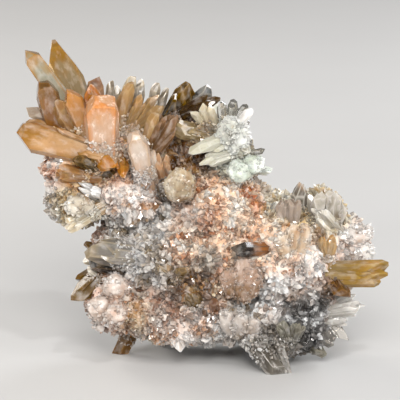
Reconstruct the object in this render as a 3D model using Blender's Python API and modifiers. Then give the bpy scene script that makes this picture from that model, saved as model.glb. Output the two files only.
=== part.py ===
"""Creedite cluster: one intergrown mass of crystals that stands on four broken crystal ends.

Run with: blender --background --python part.py
Millimetres are turned into metres by MM. +Z is up, the show side faces -Y, and the origin is
the middle of the footprint, on the surface that the cluster stands on.
"""

import math
import random
from collections import namedtuple

import bmesh
import bpy
from mathutils import Matrix, Vector

MM = 0.001

# The show side is laid out as a viewer sees it who looks down on the cluster by this angle.
VIEW_TILT = math.radians(12.0)

# Depths are measured from the plane that the tall crystals of the spray stand in, positive
# away from the viewer, and the middle of the footprint lies this far behind it, in mm.
MIDDLE_BACK = 5.8

# How far a crystal runs on into the body below its root, in mm.
SUNK = 5.0

# A broad crystal is a six-sided prism, and one narrower than this in mm is four-sided.
BROAD_WIDTH = 5.9

# Irregularity, as a share of a lump's radius and of a crystal's width.
LUMP_ROUGHNESS = 0.06
TIP_DRIFT = 0.06
UNEVENNESS = 0.04

# The body's skin: the cell it is smoothed to in mm, the spread and height of its bumps, the
# share of a bump's height that stands in from the lump's surface, and the number of facets.
BODY_CELL = 1.5
BUMP_SPREAD = 5.0
BUMP_HEIGHT = 3.2
BUMP_MIDDLE = 0.4
BODY_FACETS = 1820

# The small crystal points on the facets: their height as a share of the facet's size, how far
# they lean, the share of the facets that has one, and the fold past which a facet has none.
POINT_HEIGHT = (0.35, 1.15)
POINT_LEAN = 0.30
POINT_SHARE = 0.42
POINT_SEED = 5
HOLLOW_EDGE = math.radians(-12.0)

Lump = namedtuple("Lump", "name x seen back rx ry rz fine")
Crystal = namedtuple("Crystal", "name root tip width flat form")

# The massive crystalline body under the crystals. Each lump has its centre as x, height as
# seen and depth, then its half sizes, and how finely it is faceted.
LUMPS = (
    Lump("spray_root", -30, 64.5, 0, 9, 10, 8, 2),
    Lump("spray_root_right", -17, 65, 1, 9.5, 10.5, 8.5, 2),
    Lump("left_column_top", -39.5, 57, 0, 8.5, 10, 8, 2),
    Lump("left_column_low", -38, 47.5, 0, 9, 11, 7.5, 2),
    Lump("upper_middle", -22, 50.5, 1, 13.5, 14, 10, 3),
    Lump("brown_saddle", -5.4, 63, 3, 10, 10.5, 12, 2),
    Lump("mint_lobe", 7, 61.5, 2, 7.5, 9.5, 11, 2),
    Lump("centre_top", 3.5, 46, 1, 17, 17, 11, 3),
    Lump("left_shoulder", -24, 33.5, 2, 9.5, 12, 8, 2),
    Lump("core", -3, 31, 2, 21.5, 20, 16, 3),
    Lump("right_centre", 23, 34, 1, 18, 18, 14.5, 3),
    Lump("right_top", 34, 42.5, 3, 9.5, 11, 8, 2),
    Lump("right_edge", 42, 34.5, 3, 8, 10, 9, 2),
    Lump("right_low", 33, 22, 1, 11, 14, 10, 2),
    Lump("left_low", -26, 17.5, -1, 9.5, 13, 9.5, 2),
    Lump("middle_low", -6, 15.5, 0, 21, 17, 10.5, 3),
    Lump("right_bottom", 24, 10.5, -1, 14.5, 15, 9.5, 2),
    Lump("back_upper", -16, 57, 14, 20, 11, 12, 2),
    Lump("back_centre", 4, 38, 16, 28, 11.5, 17, 3),
    Lump("back_low", 4, 20, 16, 26, 12.5, 12, 3),
)

# Hollows in the show side, cut from the body before the crystals are added.
HOLLOWS = (
    Lump("brown_pit", -3.5, 21.5, -19.5, 6.5, 7, 5.5, 2),
    Lump("rust_pit", -27.5, 53.5, -15, 4.5, 5.5, 3, 2),
    Lump("amber_pit", 39.5, 21.5, -12.5, 3.5, 5, 4, 2),
)

# How a crystal narrows to its end: steps of (share of the length, width left, thickness left).
# The first number of a form is the share of the width that its root has.
FORMS = {
    "spear": (0.72, ((0.60, 1.0, 1.0), (0.86, 0.62, 0.60), (1.0, 0.0, 0.0))),
    "chisel": (0.80, ((0.82, 1.0, 1.0), (1.0, 0.52, 0.10))),
    "blunt": (0.84, ((0.86, 1.0, 1.0), (1.0, 0.62, 0.55))),
    "lath": (0.90, ((0.88, 1.0, 1.0), (1.0, 0.45, 0.30))),
    "point": (0.90, ((0.50, 1.0, 1.0), (1.0, 0.0, 0.0))),
    "stub": (1.0, ((1.0, 1.0, 1.0),)),
}

# Every crystal that stands out by itself: root and end as (x, height as seen, depth), width
# across, thickness as a share of the width, and its form.
CRYSTALS = (
    # The spray at the upper left.
    Crystal("pale_blade", (-31.5, 63.0, 1), (-52.2, 91.8, -3), 6.4, 0.62, "chisel"),
    Crystal("tall_spear", (-31.5, 63.5, 3), (-44.3, 95.2, 7), 8.6, 0.70, "spear"),
    Crystal("brown_stub", (-41.0, 60.5, -3), (-47.0, 82.6, -6), 6.8, 0.80, "blunt"),
    Crystal("amber_blade", (-33.0, 64.5, -7), (-39.6, 80.2, -11), 5.8, 0.60, "spear"),
    Crystal("peach_giant", (-29.5, 60.5, -7), (-30.0, 77.6, -15), 10.6, 0.60, "chisel"),
    Crystal("orange_back", (-31.0, 66.0, -4), (-33.2, 82.0, -9), 6.6, 0.70, "spear"),
    Crystal("brown_back", (-31.0, 71.0, 0), (-32.6, 84.4, 2), 5.6, 0.80, "blunt"),
    Crystal("tan_upright", (-25.2, 67.5, -6), (-21.9, 82.2, -9), 4.9, 0.70, "blunt"),
    Crystal("clear_cap", (-25.6, 67.0, -1), (-20.9, 84.2, -1), 3.8, 0.80, "blunt"),
    Crystal("grey_twin", (-21.4, 67.0, -1), (-17.8, 83.8, -1), 3.6, 0.80, "lath"),
    Crystal("beige_fan_left", (-23.0, 67.5, -6), (-17.2, 79.8, -9), 3.6, 0.70, "chisel"),
    Crystal("beige_fan_middle", (-21.5, 68.0, -6), (-13.0, 79.2, -8), 4.6, 0.70, "chisel"),
    Crystal("beige_fan_right", (-20.0, 68.0, -7), (-11.0, 75.8, -12), 4.2, 0.70, "chisel"),
    Crystal("brown_wedge", (-16.0, 60.5, -9), (-8.2, 73.2, -14), 7.0, 0.55, "chisel"),
    Crystal("tan_stub", (-17.0, 62.0, -9), (-14.2, 72.8, -14), 4.0, 0.70, "blunt"),
    Crystal("white_lozenge", (-16.8, 54.0, -10), (-20.2, 67.2, -18), 6.6, 0.60, "spear"),
    Crystal("golden_left", (-29.5, 60.5, -8), (-54.9, 67.4, -10), 9.0, 0.65, "spear"),
    Crystal("golden_ridge", (-36.5, 66.0, -5), (-53.0, 69.8, -7), 5.0, 0.60, "chisel"),
    Crystal("left_bud", (-38.0, 70.6, -2), (-52.4, 73.4, -4), 4.4, 0.85, "blunt"),
    Crystal("amber_wedge", (-36.0, 65.0, -5), (-43.6, 76.6, -9), 5.4, 0.60, "chisel"),
    Crystal("smoky_tip_left", (-29.4, 66.0, 3), (-27.2, 83.4, 5), 2.4, 0.80, "lath"),
    Crystal("smoky_tip_middle", (-26.4, 66.0, 3), (-25.2, 81.6, 5), 2.4, 0.80, "lath"),
    Crystal("smoky_tip_right", (-16.6, 66.0, 3), (-13.8, 82.4, 6), 3.2, 0.80, "blunt"),
    Crystal("smoky_tip_far", (-14.6, 66.0, 4), (-11.2, 81.0, 6), 2.8, 0.80, "blunt"),
    # Under the spray.
    Crystal("olive_lens", (-30.0, 56.5, -9), (-37.6, 60.4, -14), 4.4, 0.70, "blunt"),
    Crystal("orange_slab", (-31.5, 60.0, -8), (-26.5, 57.0, -15), 6.0, 0.50, "blunt"),
    Crystal("orange_chip", (-24.5, 60.0, -8), (-22.4, 54.0, -13), 4.0, 0.70, "spear"),
    Crystal("ochre_block", (-34.0, 54.5, -9), (-44.0, 55.6, -12), 5.2, 0.80, "lath"),
    Crystal("white_blade_long", (-28.5, 46.8, -5), (-37.2, 53.8, -12), 3.4, 0.60, "chisel"),
    Crystal("white_blade_short", (-27.0, 48.0, -7), (-34.2, 51.6, -15), 3.2, 0.70, "chisel"),
    Crystal("white_block", (-33.0, 45.6, -10), (-40.0, 46.6, -14), 6.2, 0.70, "blunt"),
    Crystal("cream_stub", (-31.5, 44.5, -9), (-42.0, 38.6, -13), 5.8, 0.75, "blunt"),
    Crystal("cream_dome", (-6.0, 48.0, -12), (-7.4, 55.6, -20), 9.2, 0.80, "blunt"),
    Crystal("cream_shadow", (-10.0, 49.0, -11), (-11.8, 52.6, -16), 6.4, 0.80, "blunt"),
    Crystal("peach_sliver_left", (-11.4, 51.0, -6), (-14.6, 61.6, -13), 3.6, 0.60, "chisel"),
    Crystal("peach_sliver_right", (-9.8, 51.0, -5), (-11.4, 60.4, -12), 3.4, 0.60, "chisel"),
    # The ridge and the pale green group.
    Crystal("yellow_ridge", (-12.0, 67.5, 2), (-3.4, 81.6, -1), 7.0, 0.60, "chisel"),
    Crystal("grey_ridge", (-7.0, 72.0, 2), (2.8, 79.4, -1), 6.4, 0.60, "blunt"),
    Crystal("brown_ridge", (-9.0, 71.5, -1), (5.4, 77.4, -4), 5.4, 0.60, "spear"),
    Crystal("smoky_slab", (0.5, 67.0, -7), (-8.8, 68.6, -12), 5.6, 0.70, "blunt"),
    Crystal("straw_left", (1.0, 69.0, -6), (-3.0, 74.0, -11), 3.0, 0.70, "lath"),
    Crystal("straw_middle", (2.5, 69.0, -6), (-0.6, 75.6, -11), 2.8, 0.70, "lath"),
    Crystal("straw_right", (4.0, 68.5, -6), (1.6, 75.2, -11), 2.8, 0.70, "lath"),
    Crystal("mint_lower_left", (9.0, 67.0, -7), (-4.6, 61.2, -13), 4.4, 0.70, "spear"),
    Crystal("mint_second", (10.0, 61.5, -7), (-1.8, 58.6, -12), 4.2, 0.70, "blunt"),
    Crystal("mint_body", (5.0, 63.0, -7), (9.4, 71.4, -12), 6.4, 0.60, "chisel"),
    Crystal("mint_body_right", (9.5, 60.0, -7), (12.4, 69.4, -11), 5.0, 0.60, "chisel"),
    Crystal("mint_up_left", (6.5, 68.0, -5), (5.2, 76.4, -8), 3.2, 0.80, "lath"),
    Crystal("mint_up_middle", (8.0, 68.0, -4), (9.2, 77.2, -6), 3.4, 0.80, "lath"),
    Crystal("mint_up_right", (9.0, 68.0, -4), (12.6, 75.8, -6), 3.0, 0.80, "lath"),
    Crystal("mint_bright", (8.5, 67.0, -6), (14.2, 74.4, -9), 2.8, 0.80, "lath"),
    Crystal("mint_side_high", (8.0, 66.0, -2), (14.2, 69.8, -4), 3.4, 0.80, "blunt"),
    Crystal("mint_side_low", (8.0, 63.0, -2), (14.2, 65.6, -4), 3.6, 0.80, "blunt"),
    Crystal("glass_needle", (12.0, 60.8, -5), (18.2, 62.2, -8), 1.9, 0.75, "lath"),
    Crystal("green_cushion", (13.5, 57.0, -7), (8.0, 55.0, -13), 6.6, 0.80, "blunt"),
    Crystal("green_cushion_right", (11.0, 57.5, -6), (17.6, 58.4, -10), 6.0, 0.80, "blunt"),
    Crystal("green_bud", (14.0, 56.4, -5), (20.6, 56.2, -8), 2.8, 0.90, "blunt"),
    # The right shoulder.
    Crystal("peak", (28.4, 45.0, -4), (28.9, 53.6, -7), 5.4, 0.70, "point"),
    Crystal("cream_wall_left", (34.0, 41.5, -6), (33.4, 51.4, -8), 6.2, 0.70, "lath"),
    Crystal("cream_wall_right", (38.0, 41.0, -5), (38.2, 51.4, -8), 6.6, 0.70, "lath"),
    Crystal("cream_wall_edge", (38.0, 40.0, -4), (41.4, 47.0, -6), 5.6, 0.70, "blunt"),
    Crystal("cream_rib", (40.4, 37.4, -3), (33.0, 45.2, -11), 5.4, 0.60, "chisel"),
    Crystal("mauve_prism_left", (24.0, 40.0, -9), (23.6, 48.0, -12), 4.4, 0.70, "lath"),
    Crystal("mauve_prism_right", (26.4, 39.6, -9), (27.0, 48.6, -13), 4.6, 0.70, "lath"),
    Crystal("peach_fan_left", (25.0, 31.0, -15), (22.0, 37.4, -21), 4.8, 0.60, "chisel"),
    Crystal("peach_fan_middle", (26.5, 31.0, -14), (26.6, 40.4, -20), 5.0, 0.60, "chisel"),
    Crystal("peach_fan_right", (28.0, 31.0, -14), (30.4, 40.2, -19), 4.6, 0.60, "chisel"),
    Crystal("honey_fan_left", (36.5, 30.0, -10), (34.6, 37.6, -15), 3.6, 0.60, "lath"),
    Crystal("honey_fan_right", (37.0, 30.0, -10), (38.8, 37.8, -15), 4.2, 0.60, "chisel"),
    Crystal("white_corner", (42.0, 36.0, -2), (50.2, 38.2, -5), 6.0, 0.80, "blunt"),
    Crystal("white_corner_low", (43.0, 31.0, -2), (50.4, 32.4, -5), 6.2, 0.80, "blunt"),
    Crystal("gold_prism_high", (40.5, 27.2, -8), (54.8, 27.4, -11), 5.2, 0.80, "lath"),
    Crystal("gold_prism_low", (40.5, 24.2, -9), (54.6, 24.4, -12), 5.2, 0.80, "lath"),
    Crystal("amber_drop", (38.5, 23.5, -8), (41.0, 18.4, -14), 6.4, 0.80, "blunt"),
    # The left flank.
    Crystal("smoky_block", (-20.0, 31.5, -8), (-35.2, 33.6, -10), 9.4, 0.75, "lath"),
    Crystal("smoky_block_low", (-22.0, 27.6, -6), (-33.6, 29.2, -9), 5.6, 0.80, "blunt"),
    Crystal("straw_flank", (-29.0, 26.5, -4), (-38.6, 17.0, -7), 6.8, 0.70, "blunt"),
    Crystal("white_flank_cap", (-30.0, 24.0, -5), (-34.4, 27.4, -8), 2.6, 0.70, "lath"),
    Crystal("pink_lump_high", (-25.4, 19.5, -11), (-26.4, 24.4, -16), 7.6, 0.90, "blunt"),
    Crystal("pink_lump_left", (-27.0, 16.0, -9), (-34.2, 15.4, -13), 7.4, 0.90, "blunt"),
    Crystal("white_lump_low", (-24.0, 15.0, -11), (-27.4, 13.2, -18), 6.2, 0.90, "blunt"),
    # The middle of the show side.
    Crystal("smoky_eye", (17.8, 33.2, -15), (8.4, 32.8, -22), 4.8, 0.80, "blunt"),
    Crystal("rose_panel", (11.0, 18.5, -15), (13.6, 29.6, -19), 10.4, 0.55, "blunt"),
    Crystal("rose_panel_left", (8.0, 20.0, -15), (7.4, 27.0, -19), 6.6, 0.60, "blunt"),
    Crystal("pit_shard_left", (-8.5, 24.0, -16), (-5.4, 28.0, -20), 3.8, 0.60, "chisel"),
    Crystal("pit_shard_low", (-2.0, 16.0, -15), (-4.6, 20.4, -19), 5.4, 0.60, "chisel"),
    Crystal("rust_shard", (2.4, 14.0, -15), (4.0, 18.6, -20), 3.6, 0.60, "chisel"),
    Crystal("pale_fan_left", (9.6, 8.0, -14), (5.4, 14.6, -18), 5.4, 0.60, "chisel"),
    Crystal("pale_fan_middle", (11.4, 7.0, -14), (10.6, 13.6, -19), 5.4, 0.60, "chisel"),
    Crystal("pale_fan_right", (13.2, 6.4, -14), (15.4, 12.4, -18), 4.6, 0.60, "chisel"),
    Crystal("grey_fan_left", (25.0, 6.4, -14), (23.0, 12.4, -18), 4.2, 0.60, "chisel"),
    Crystal("grey_fan_right", (26.4, 6.4, -14), (28.4, 12.0, -18), 4.6, 0.60, "chisel"),
    # The lower right edge.
    Crystal("edge_upper", (38.0, 16.4, -6), (45.0, 20.6, -9), 4.2, 0.80, "spear"),
    Crystal("edge_long", (36.0, 14.6, -7), (48.2, 16.0, -11), 5.0, 0.75, "spear"),
    Crystal("edge_middle", (34.0, 12.2, -5), (43.4, 12.8, -8), 4.4, 0.80, "blunt"),
    Crystal("edge_fang", (36.0, 13.0, -4), (43.4, 5.4, -6), 3.8, 0.70, "point"),
    Crystal("edge_low", (32.0, 9.0, -5), (40.0, 5.2, -8), 4.8, 0.80, "blunt"),
    Crystal("edge_foot", (31.0, 5.8, -4), (36.2, 0.9, -7), 4.4, 0.80, "lath"),
    # Under the body.
    Crystal("cone", (-7.8, 8.6, -11), (-5.6, 2.2, -12), 5.4, 0.90, "point"),
    Crystal("cream_under_left", (-13.0, 10.0, -7), (-13.2, 4.4, -8), 6.2, 0.80, "blunt"),
    Crystal("cream_under_far", (-17.0, 10.6, -6), (-16.6, 6.2, -7), 4.4, 0.80, "blunt"),
    Crystal("clear_under", (2.0, 8.6, -6), (2.0, 3.6, -7), 3.6, 0.80, "blunt"),
    Crystal("pale_under", (9.0, 8.0, -8), (7.0, 3.8, -10), 5.2, 0.80, "blunt"),
    Crystal("left_toe", (-31.0, 12.0, -5), (-30.2, 8.4, -7), 3.2, 0.80, "blunt"),
)

# Crystals whose ends were broken flat: each runs below the floor here and is cut off at it.
# Roots and ends are (x, depth, z) in mm.
FEET = (
    Crystal("left_foot", (-20.0, 5.0, 11.0), (-26.2, 9.0, -3.0), 5.4, 0.80, "stub"),
    Crystal("right_foot", (14.0, -13.5, 10.0), (24.2, -18.6, -3.0), 6.4, 0.85, "stub"),
    Crystal("right_foot_twin", (21.5, -13.0, 10.0), (25.4, -17.2, -3.0), 3.8, 0.85, "stub"),
    Crystal("back_foot_right", (16.0, 16.0, 12.0), (20.0, 22.0, -3.0), 9.0, 0.85, "stub"),
    Crystal("back_foot_left", (-10.0, 15.0, 12.0), (-13.0, 21.0, -3.0), 8.0, 0.85, "stub"),
)

# Larger crystals of the back and the top, which no view from the front shows. Each group has
# the place that it springs from as (x, depth, z), the way it leans, and its number of crystals.
Group = namedtuple("Group", "name centre lean count length width spread seed")
BACK_GROUPS = (
    Group("back_spray", (-26, 12, 61), (-0.35, 0.75, 0.75), 7, 17.0, 6.6, 0.55, 11),
    Group("back_rosette", (-5, 20, 47), (-0.15, 1.00, 0.30), 5, 14.0, 7.0, 0.60, 12),
    Group("back_fan", (24, 18, 36), (0.45, 0.95, 0.35), 5, 15.0, 6.4, 0.55, 13),
    Group("back_skirt", (5, 22, 18), (0.05, 1.00, -0.05), 5, 13.0, 6.6, 0.60, 14),
    Group("back_corner", (-24, 6, 27), (-0.80, 0.65, 0.10), 4, 15.0, 6.4, 0.50, 15),
    Group("top_tuft", (3, 8, 65), (0.15, 0.70, 0.85), 5, 12.0, 4.8, 0.50, 16),
)

# How the crystals of a group differ: the turn between one and the next and its unevenness, and
# the smallest share of the group's length and width.
GOLDEN_ANGLE = math.pi * (3.0 - math.sqrt(5.0))
GROUP_JITTER = 0.3
SHORTEST = 0.78
THINNEST = 0.7
GROUP_FLATNESS = (0.6, 0.9)
GROUP_FORMS = ("spear", "chisel", "blunt", "lath")

# Below this, the direction of a crystal is too close to the view to set its width across it.
END_ON = 0.2

# The block that cuts the feet off: its sides and its height in mm.
GROUND_SIDE = 400.0
GROUND_CUT_DEPTH = 20.0


def seen(x, height, back):
    """World place in metres of a point at this x, seen at this height, this far back."""
    up = (height - back * math.sin(VIEW_TILT)) / math.cos(VIEW_TILT)
    return Vector((x, back - MIDDLE_BACK, up)) * MM


def plain(x, back, z):
    """World place in metres of a point at this x and height, this far back."""
    return Vector((x, back - MIDDLE_BACK, z)) * MM


def view_direction():
    """The way from the cluster to the viewer."""
    return Vector((0.0, -math.cos(VIEW_TILT), math.sin(VIEW_TILT)))


def clear_scene():
    for obj in list(bpy.data.objects):
        bpy.data.objects.remove(obj)


def collection(name, shown):
    made = bpy.data.collections.new(name)
    made.hide_render = not shown
    bpy.context.scene.collection.children.link(made)
    return made


def object_of(name, bm, home):
    mesh = bpy.data.meshes.new(name)
    bm.to_mesh(mesh)
    bm.free()
    obj = bpy.data.objects.new(name, mesh)
    home.objects.link(obj)
    return obj


def helper(obj):
    obj.hide_render = True
    obj.display_type = "WIRE"
    return obj


def lump_centre(lump):
    return seen(lump.x, lump.seen, lump.back)


def add_lump(bm, lump):
    """A faceted rounded mass whose points stand in and out a little."""
    rng = random.Random(lump.name)
    half = Vector((lump.rx, lump.ry, lump.rz)) * MM
    centre = lump_centre(lump)
    made = bmesh.ops.create_icosphere(bm, subdivisions=lump.fine, radius=1.0)["verts"]
    for vert in made:
        swell = 1.0 + rng.uniform(-LUMP_ROUGHNESS, LUMP_ROUGHNESS)
        vert.co = centre + Vector(a * b for a, b in zip(vert.co, half)) * swell


def evaluated_mesh(obj):
    bpy.context.view_layer.update()
    graph = bpy.context.evaluated_depsgraph_get()
    return bpy.data.meshes.new_from_object(obj.evaluated_get(graph))


def smoothed_body(home):
    """The lumps run together into one skin of about BODY_FACETS facets."""
    bm = bmesh.new()
    for lump in LUMPS:
        add_lump(bm, lump)
    body = object_of("body_form", bm, home)
    cells = body.modifiers.new("run_together", "REMESH")
    cells.mode = "VOXEL"
    cells.voxel_size = BODY_CELL * MM
    grain = bpy.data.textures.new("bumps", "VORONOI")
    grain.noise_scale = BUMP_SPREAD * MM
    bumps = body.modifiers.new("bumps", "DISPLACE")
    bumps.texture = grain
    bumps.strength = -BUMP_HEIGHT * MM
    bumps.mid_level = BUMP_MIDDLE
    facets = len(evaluated_mesh(body).polygons) * 2
    fewer = body.modifiers.new("fewer_facets", "DECIMATE")
    fewer.use_collapse_triangulate = True
    fewer.ratio = BODY_FACETS / facets
    return body


def is_hollow(face):
    """Whether the skin folds inwards at any edge of this facet."""
    return any(edge.calc_face_angle_signed(0.0) < HOLLOW_EDGE for edge in face.edges)


def raise_points(bm):
    """Turns most facets of the skin into small leaning crystal points."""
    rng = random.Random(POINT_SEED)
    chosen = [f for f in bm.faces if not is_hollow(f) and rng.random() < POINT_SHARE]
    sizes = {f.calc_center_median().freeze(): math.sqrt(f.calc_area()) for f in chosen}
    normals = {f.calc_center_median().freeze(): f.normal.copy() for f in chosen}
    for vert in bmesh.ops.poke(bm, faces=chosen)["verts"]:
        place = min(sizes, key=lambda centre: (centre - vert.co).length_squared)
        lean = Vector(rng.uniform(-POINT_LEAN, POINT_LEAN) for _ in range(3))
        vert.co += (normals[place] + lean) * sizes[place] * rng.uniform(*POINT_HEIGHT)


def crystal_frame(root, tip, twist=0.0):
    """Axes of a crystal: z along it, x across it as the viewer sees it, turned by twist."""
    along = (tip - root).normalized()
    across = along.cross(view_direction())
    if across.length < END_ON:
        across = along.cross(Vector((0.0, 0.0, 1.0)))
    across.normalize()
    across = Matrix.Rotation(twist, 3, along) @ across
    thick = along.cross(across).normalized()
    frame = Matrix((across, thick, along)).transposed().to_4x4()
    frame.translation = root
    return frame


def crystal_object(crystal, root, tip, home, twist=0.0, sunk=0.0):
    """A prism that narrows to its end through flat facets, and starts sunk below its root."""
    rng = random.Random(crystal.name)
    width = crystal.width * MM
    length = (tip - root).length
    root_share, steps = FORMS[crystal.form]
    first = steps[0]
    bm = bmesh.new()
    bmesh.ops.create_cone(
        bm,
        cap_ends=True,
        segments=6 if crystal.width >= BROAD_WIDTH else 4,
        radius1=root_share * width / 2,
        radius2=first[1] * width / 2,
        depth=first[0] * length + sunk,
        matrix=Matrix.Rotation(math.pi / 2, 4, "Z"),
    )
    bmesh.ops.translate(bm, verts=bm.verts, vec=(0, 0, (first[0] * length - sunk) / 2))
    end = max(bm.faces, key=lambda face: face.calc_center_median().z)
    for before, step in zip(steps, steps[1:]):
        end = bmesh.ops.extrude_discrete_faces(bm, faces=[end])["faces"][0]
        drift = rng.uniform(-TIP_DRIFT, TIP_DRIFT) * width
        for vert in end.verts:
            vert.co.x = vert.co.x * step[1] / before[1] + drift
            vert.co.y = vert.co.y * step[2] / before[2]
            vert.co.z = step[0] * length
        if step[1] == 0.0:
            bmesh.ops.pointmerge(bm, verts=end.verts, merge_co=end.verts[0].co)
    for vert in bm.verts:
        vert.co.x += rng.uniform(-UNEVENNESS, UNEVENNESS) * width
        vert.co.y = vert.co.y * crystal.flat
    frame = crystal_frame(root, tip, twist)
    bmesh.ops.transform(bm, matrix=frame, verts=bm.verts)
    return helper(object_of(crystal.name, bm, home))


def group_crystals(group, home):
    """A spray of crystals that lean round one direction."""
    rng = random.Random(group.seed)
    lean = Vector(group.lean).normalized()
    side = lean.orthogonal().normalized()
    other = lean.cross(side)
    for number in range(group.count):
        angle = number * GOLDEN_ANGLE + rng.uniform(-GROUP_JITTER, GROUP_JITTER)
        tilt = group.spread * math.sqrt((number + 0.5) / group.count)
        way = lean + (side * math.cos(angle) + other * math.sin(angle)) * tilt
        way.normalize()
        length = group.length * rng.uniform(SHORTEST, 1.0)
        width = group.width * rng.uniform(THINNEST, 1.0)
        root = plain(*group.centre)
        tip = root + way * length * MM
        form = rng.choice(GROUP_FORMS)
        name = f"{group.name}_{number}"
        crystal = Crystal(name, None, None, width, rng.uniform(*GROUP_FLATNESS), form)
        crystal_object(crystal, root, tip, home, rng.uniform(0, math.pi))


def boolean(obj, name, operation, operands):
    step = obj.modifiers.new(name, "BOOLEAN")
    step.operation = operation
    step.operand_type = "COLLECTION"
    step.collection = operands
    step.solver = "EXACT"
    return step


def ground_block(home):
    """Everything below the floor, for cutting the feet flat."""
    bm = bmesh.new()
    bmesh.ops.create_cube(bm, size=1.0)
    size = Vector((GROUND_SIDE, GROUND_SIDE, GROUND_CUT_DEPTH)) * MM
    bmesh.ops.scale(bm, verts=bm.verts, vec=size)
    bmesh.ops.translate(bm, verts=bm.verts, vec=(0, 0, -GROUND_CUT_DEPTH * MM / 2))
    return helper(object_of("ground_block", bm, home))


def outer_skin(bm):
    """Removes the walls of gaps that crystals closed in, and keeps the outside."""
    left = set(bm.verts)
    shells = []
    while left:
        start = left.pop()
        shell, edge = {start}, [start]
        while edge:
            vert = edge.pop()
            for link in vert.link_edges:
                other = link.other_vert(vert)
                if other in left:
                    left.discard(other)
                    shell.add(other)
                    edge.append(other)
        shells.append(shell)
    shells.sort(key=lambda shell: max(v.co.x for v in shell) - min(v.co.x for v in shell))
    inner = [vert for shell in shells[:-1] for vert in shell]
    bmesh.ops.delete(bm, geom=inner, context="VERTS")


def crystal_material():
    material = bpy.data.materials.new("creedite")
    material.use_nodes = True
    shader = material.node_tree.nodes["Principled BSDF"]
    shader.inputs["Base Color"].default_value = (0.80, 0.60, 0.47, 1.0)
    shader.inputs["Roughness"].default_value = 0.22
    shader.inputs["Metallic"].default_value = 0.0
    shader.inputs["IOR"].default_value = 1.47
    return material


def build():
    clear_scene()
    shown = collection("creedite_cluster", True)
    guides = collection("guides", False)
    hollows = collection("hollows", False)
    crystals = collection("crystals", False)
    ground = collection("ground", False)

    skin = bmesh.new()
    skin.from_mesh(evaluated_mesh(smoothed_body(guides)))
    raise_points(skin)
    body = object_of("body", skin, guides)
    for hollow in HOLLOWS:
        bm = bmesh.new()
        add_lump(bm, hollow)
        helper(object_of(hollow.name, bm, hollows))
    for crystal in CRYSTALS:
        root, tip = seen(*crystal.root), seen(*crystal.tip)
        crystal_object(crystal, root, tip, crystals, sunk=SUNK * MM)
    for foot in FEET:
        crystal_object(foot, plain(*foot.root), plain(*foot.tip), crystals)
    for group in BACK_GROUPS:
        group_crystals(group, crystals)
    ground_block(ground)

    boolean(body, "cut_hollows", "DIFFERENCE", hollows)
    boolean(body, "join_crystals", "UNION", crystals)
    boolean(body, "cut_feet", "DIFFERENCE", ground)
    bm = bmesh.new()
    bm.from_mesh(evaluated_mesh(body))
    bmesh.ops.triangulate(bm, faces=bm.faces)
    outer_skin(bm)
    cluster = object_of("creedite_cluster", bm, shown)
    cluster.data.materials.clear()
    cluster.data.materials.append(crystal_material())


build()
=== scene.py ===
"""The looks of the creedite cluster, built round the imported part.

The massive body becomes a fine crust, each large crystal is modelled with chamfered edges, a
colour that changes along it and smaller crystals beside it, and thousands of small crystals
cover the rest. Lengths in the tables are in mm, and MM turns them into metres.
"""

import math
import random
from collections import namedtuple

import bmesh
import bpy
import numpy as np
from mathutils import Matrix, Vector, bvhtree, kdtree, noise

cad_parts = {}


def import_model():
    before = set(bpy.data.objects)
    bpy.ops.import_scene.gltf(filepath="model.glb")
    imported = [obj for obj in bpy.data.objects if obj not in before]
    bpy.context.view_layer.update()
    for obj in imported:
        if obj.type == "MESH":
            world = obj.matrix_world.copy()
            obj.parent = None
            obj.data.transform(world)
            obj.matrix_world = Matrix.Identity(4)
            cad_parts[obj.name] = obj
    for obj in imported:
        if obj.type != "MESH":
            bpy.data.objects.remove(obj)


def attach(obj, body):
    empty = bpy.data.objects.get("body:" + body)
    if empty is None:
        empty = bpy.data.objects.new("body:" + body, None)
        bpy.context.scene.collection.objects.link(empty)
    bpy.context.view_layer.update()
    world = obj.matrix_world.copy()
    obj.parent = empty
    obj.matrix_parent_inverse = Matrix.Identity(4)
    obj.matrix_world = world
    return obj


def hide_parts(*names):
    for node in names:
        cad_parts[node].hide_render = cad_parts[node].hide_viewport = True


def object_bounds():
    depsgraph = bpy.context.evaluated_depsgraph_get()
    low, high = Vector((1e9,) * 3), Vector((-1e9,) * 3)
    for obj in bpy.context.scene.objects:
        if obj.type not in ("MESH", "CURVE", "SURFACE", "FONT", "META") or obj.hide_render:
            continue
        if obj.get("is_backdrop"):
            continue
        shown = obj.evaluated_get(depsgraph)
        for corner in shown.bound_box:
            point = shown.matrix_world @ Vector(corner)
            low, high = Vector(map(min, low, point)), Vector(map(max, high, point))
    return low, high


MM = 0.001
NODE = "creedite_cluster"

# The same layout as the part: the viewer looks down by this angle, and the middle of the
# footprint lies this far behind the plane of the tall crystals.
VIEW_TILT = math.radians(12.0)
TO_VIEWER = Vector((0.0, -math.cos(VIEW_TILT), math.sin(VIEW_TILT)))
MIDDLE_BACK = 5.8

Lump = namedtuple("Lump", "name x seen back rx ry rz fine")
Look = namedtuple("Look", "name kind root middle tip rim")
Palette = namedtuple("Palette", "name crust stained warm pale white clear")
Zone = namedtuple("Zone", "name x seen back reach palette length")
Group = namedtuple("Group", "name centre lean count length width spread seed looks")
Crystal = namedtuple(
    "Crystal", "name root tip width flat form look build size cover twist",
    defaults=("plain", 0.0, 0.0, 0.0),
)


def rows(table):
    """The rows of a table as lists of words and numbers."""
    return [
        [float(word) if word[0] in "-0123456789" else word for word in line.split()]
        for line in table.strip().splitlines()
    ]


def seen(x, height, back):
    """World place in metres of a point at this x, seen at this height, this far back."""
    up = (height - back * math.sin(VIEW_TILT)) / math.cos(VIEW_TILT)
    return Vector((x, back - MIDDLE_BACK, up)) * MM


def plain(x, back, z):
    """World place in metres of a point at this x and height, this far back."""
    return Vector((x, back - MIDDLE_BACK, z)) * MM


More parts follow.
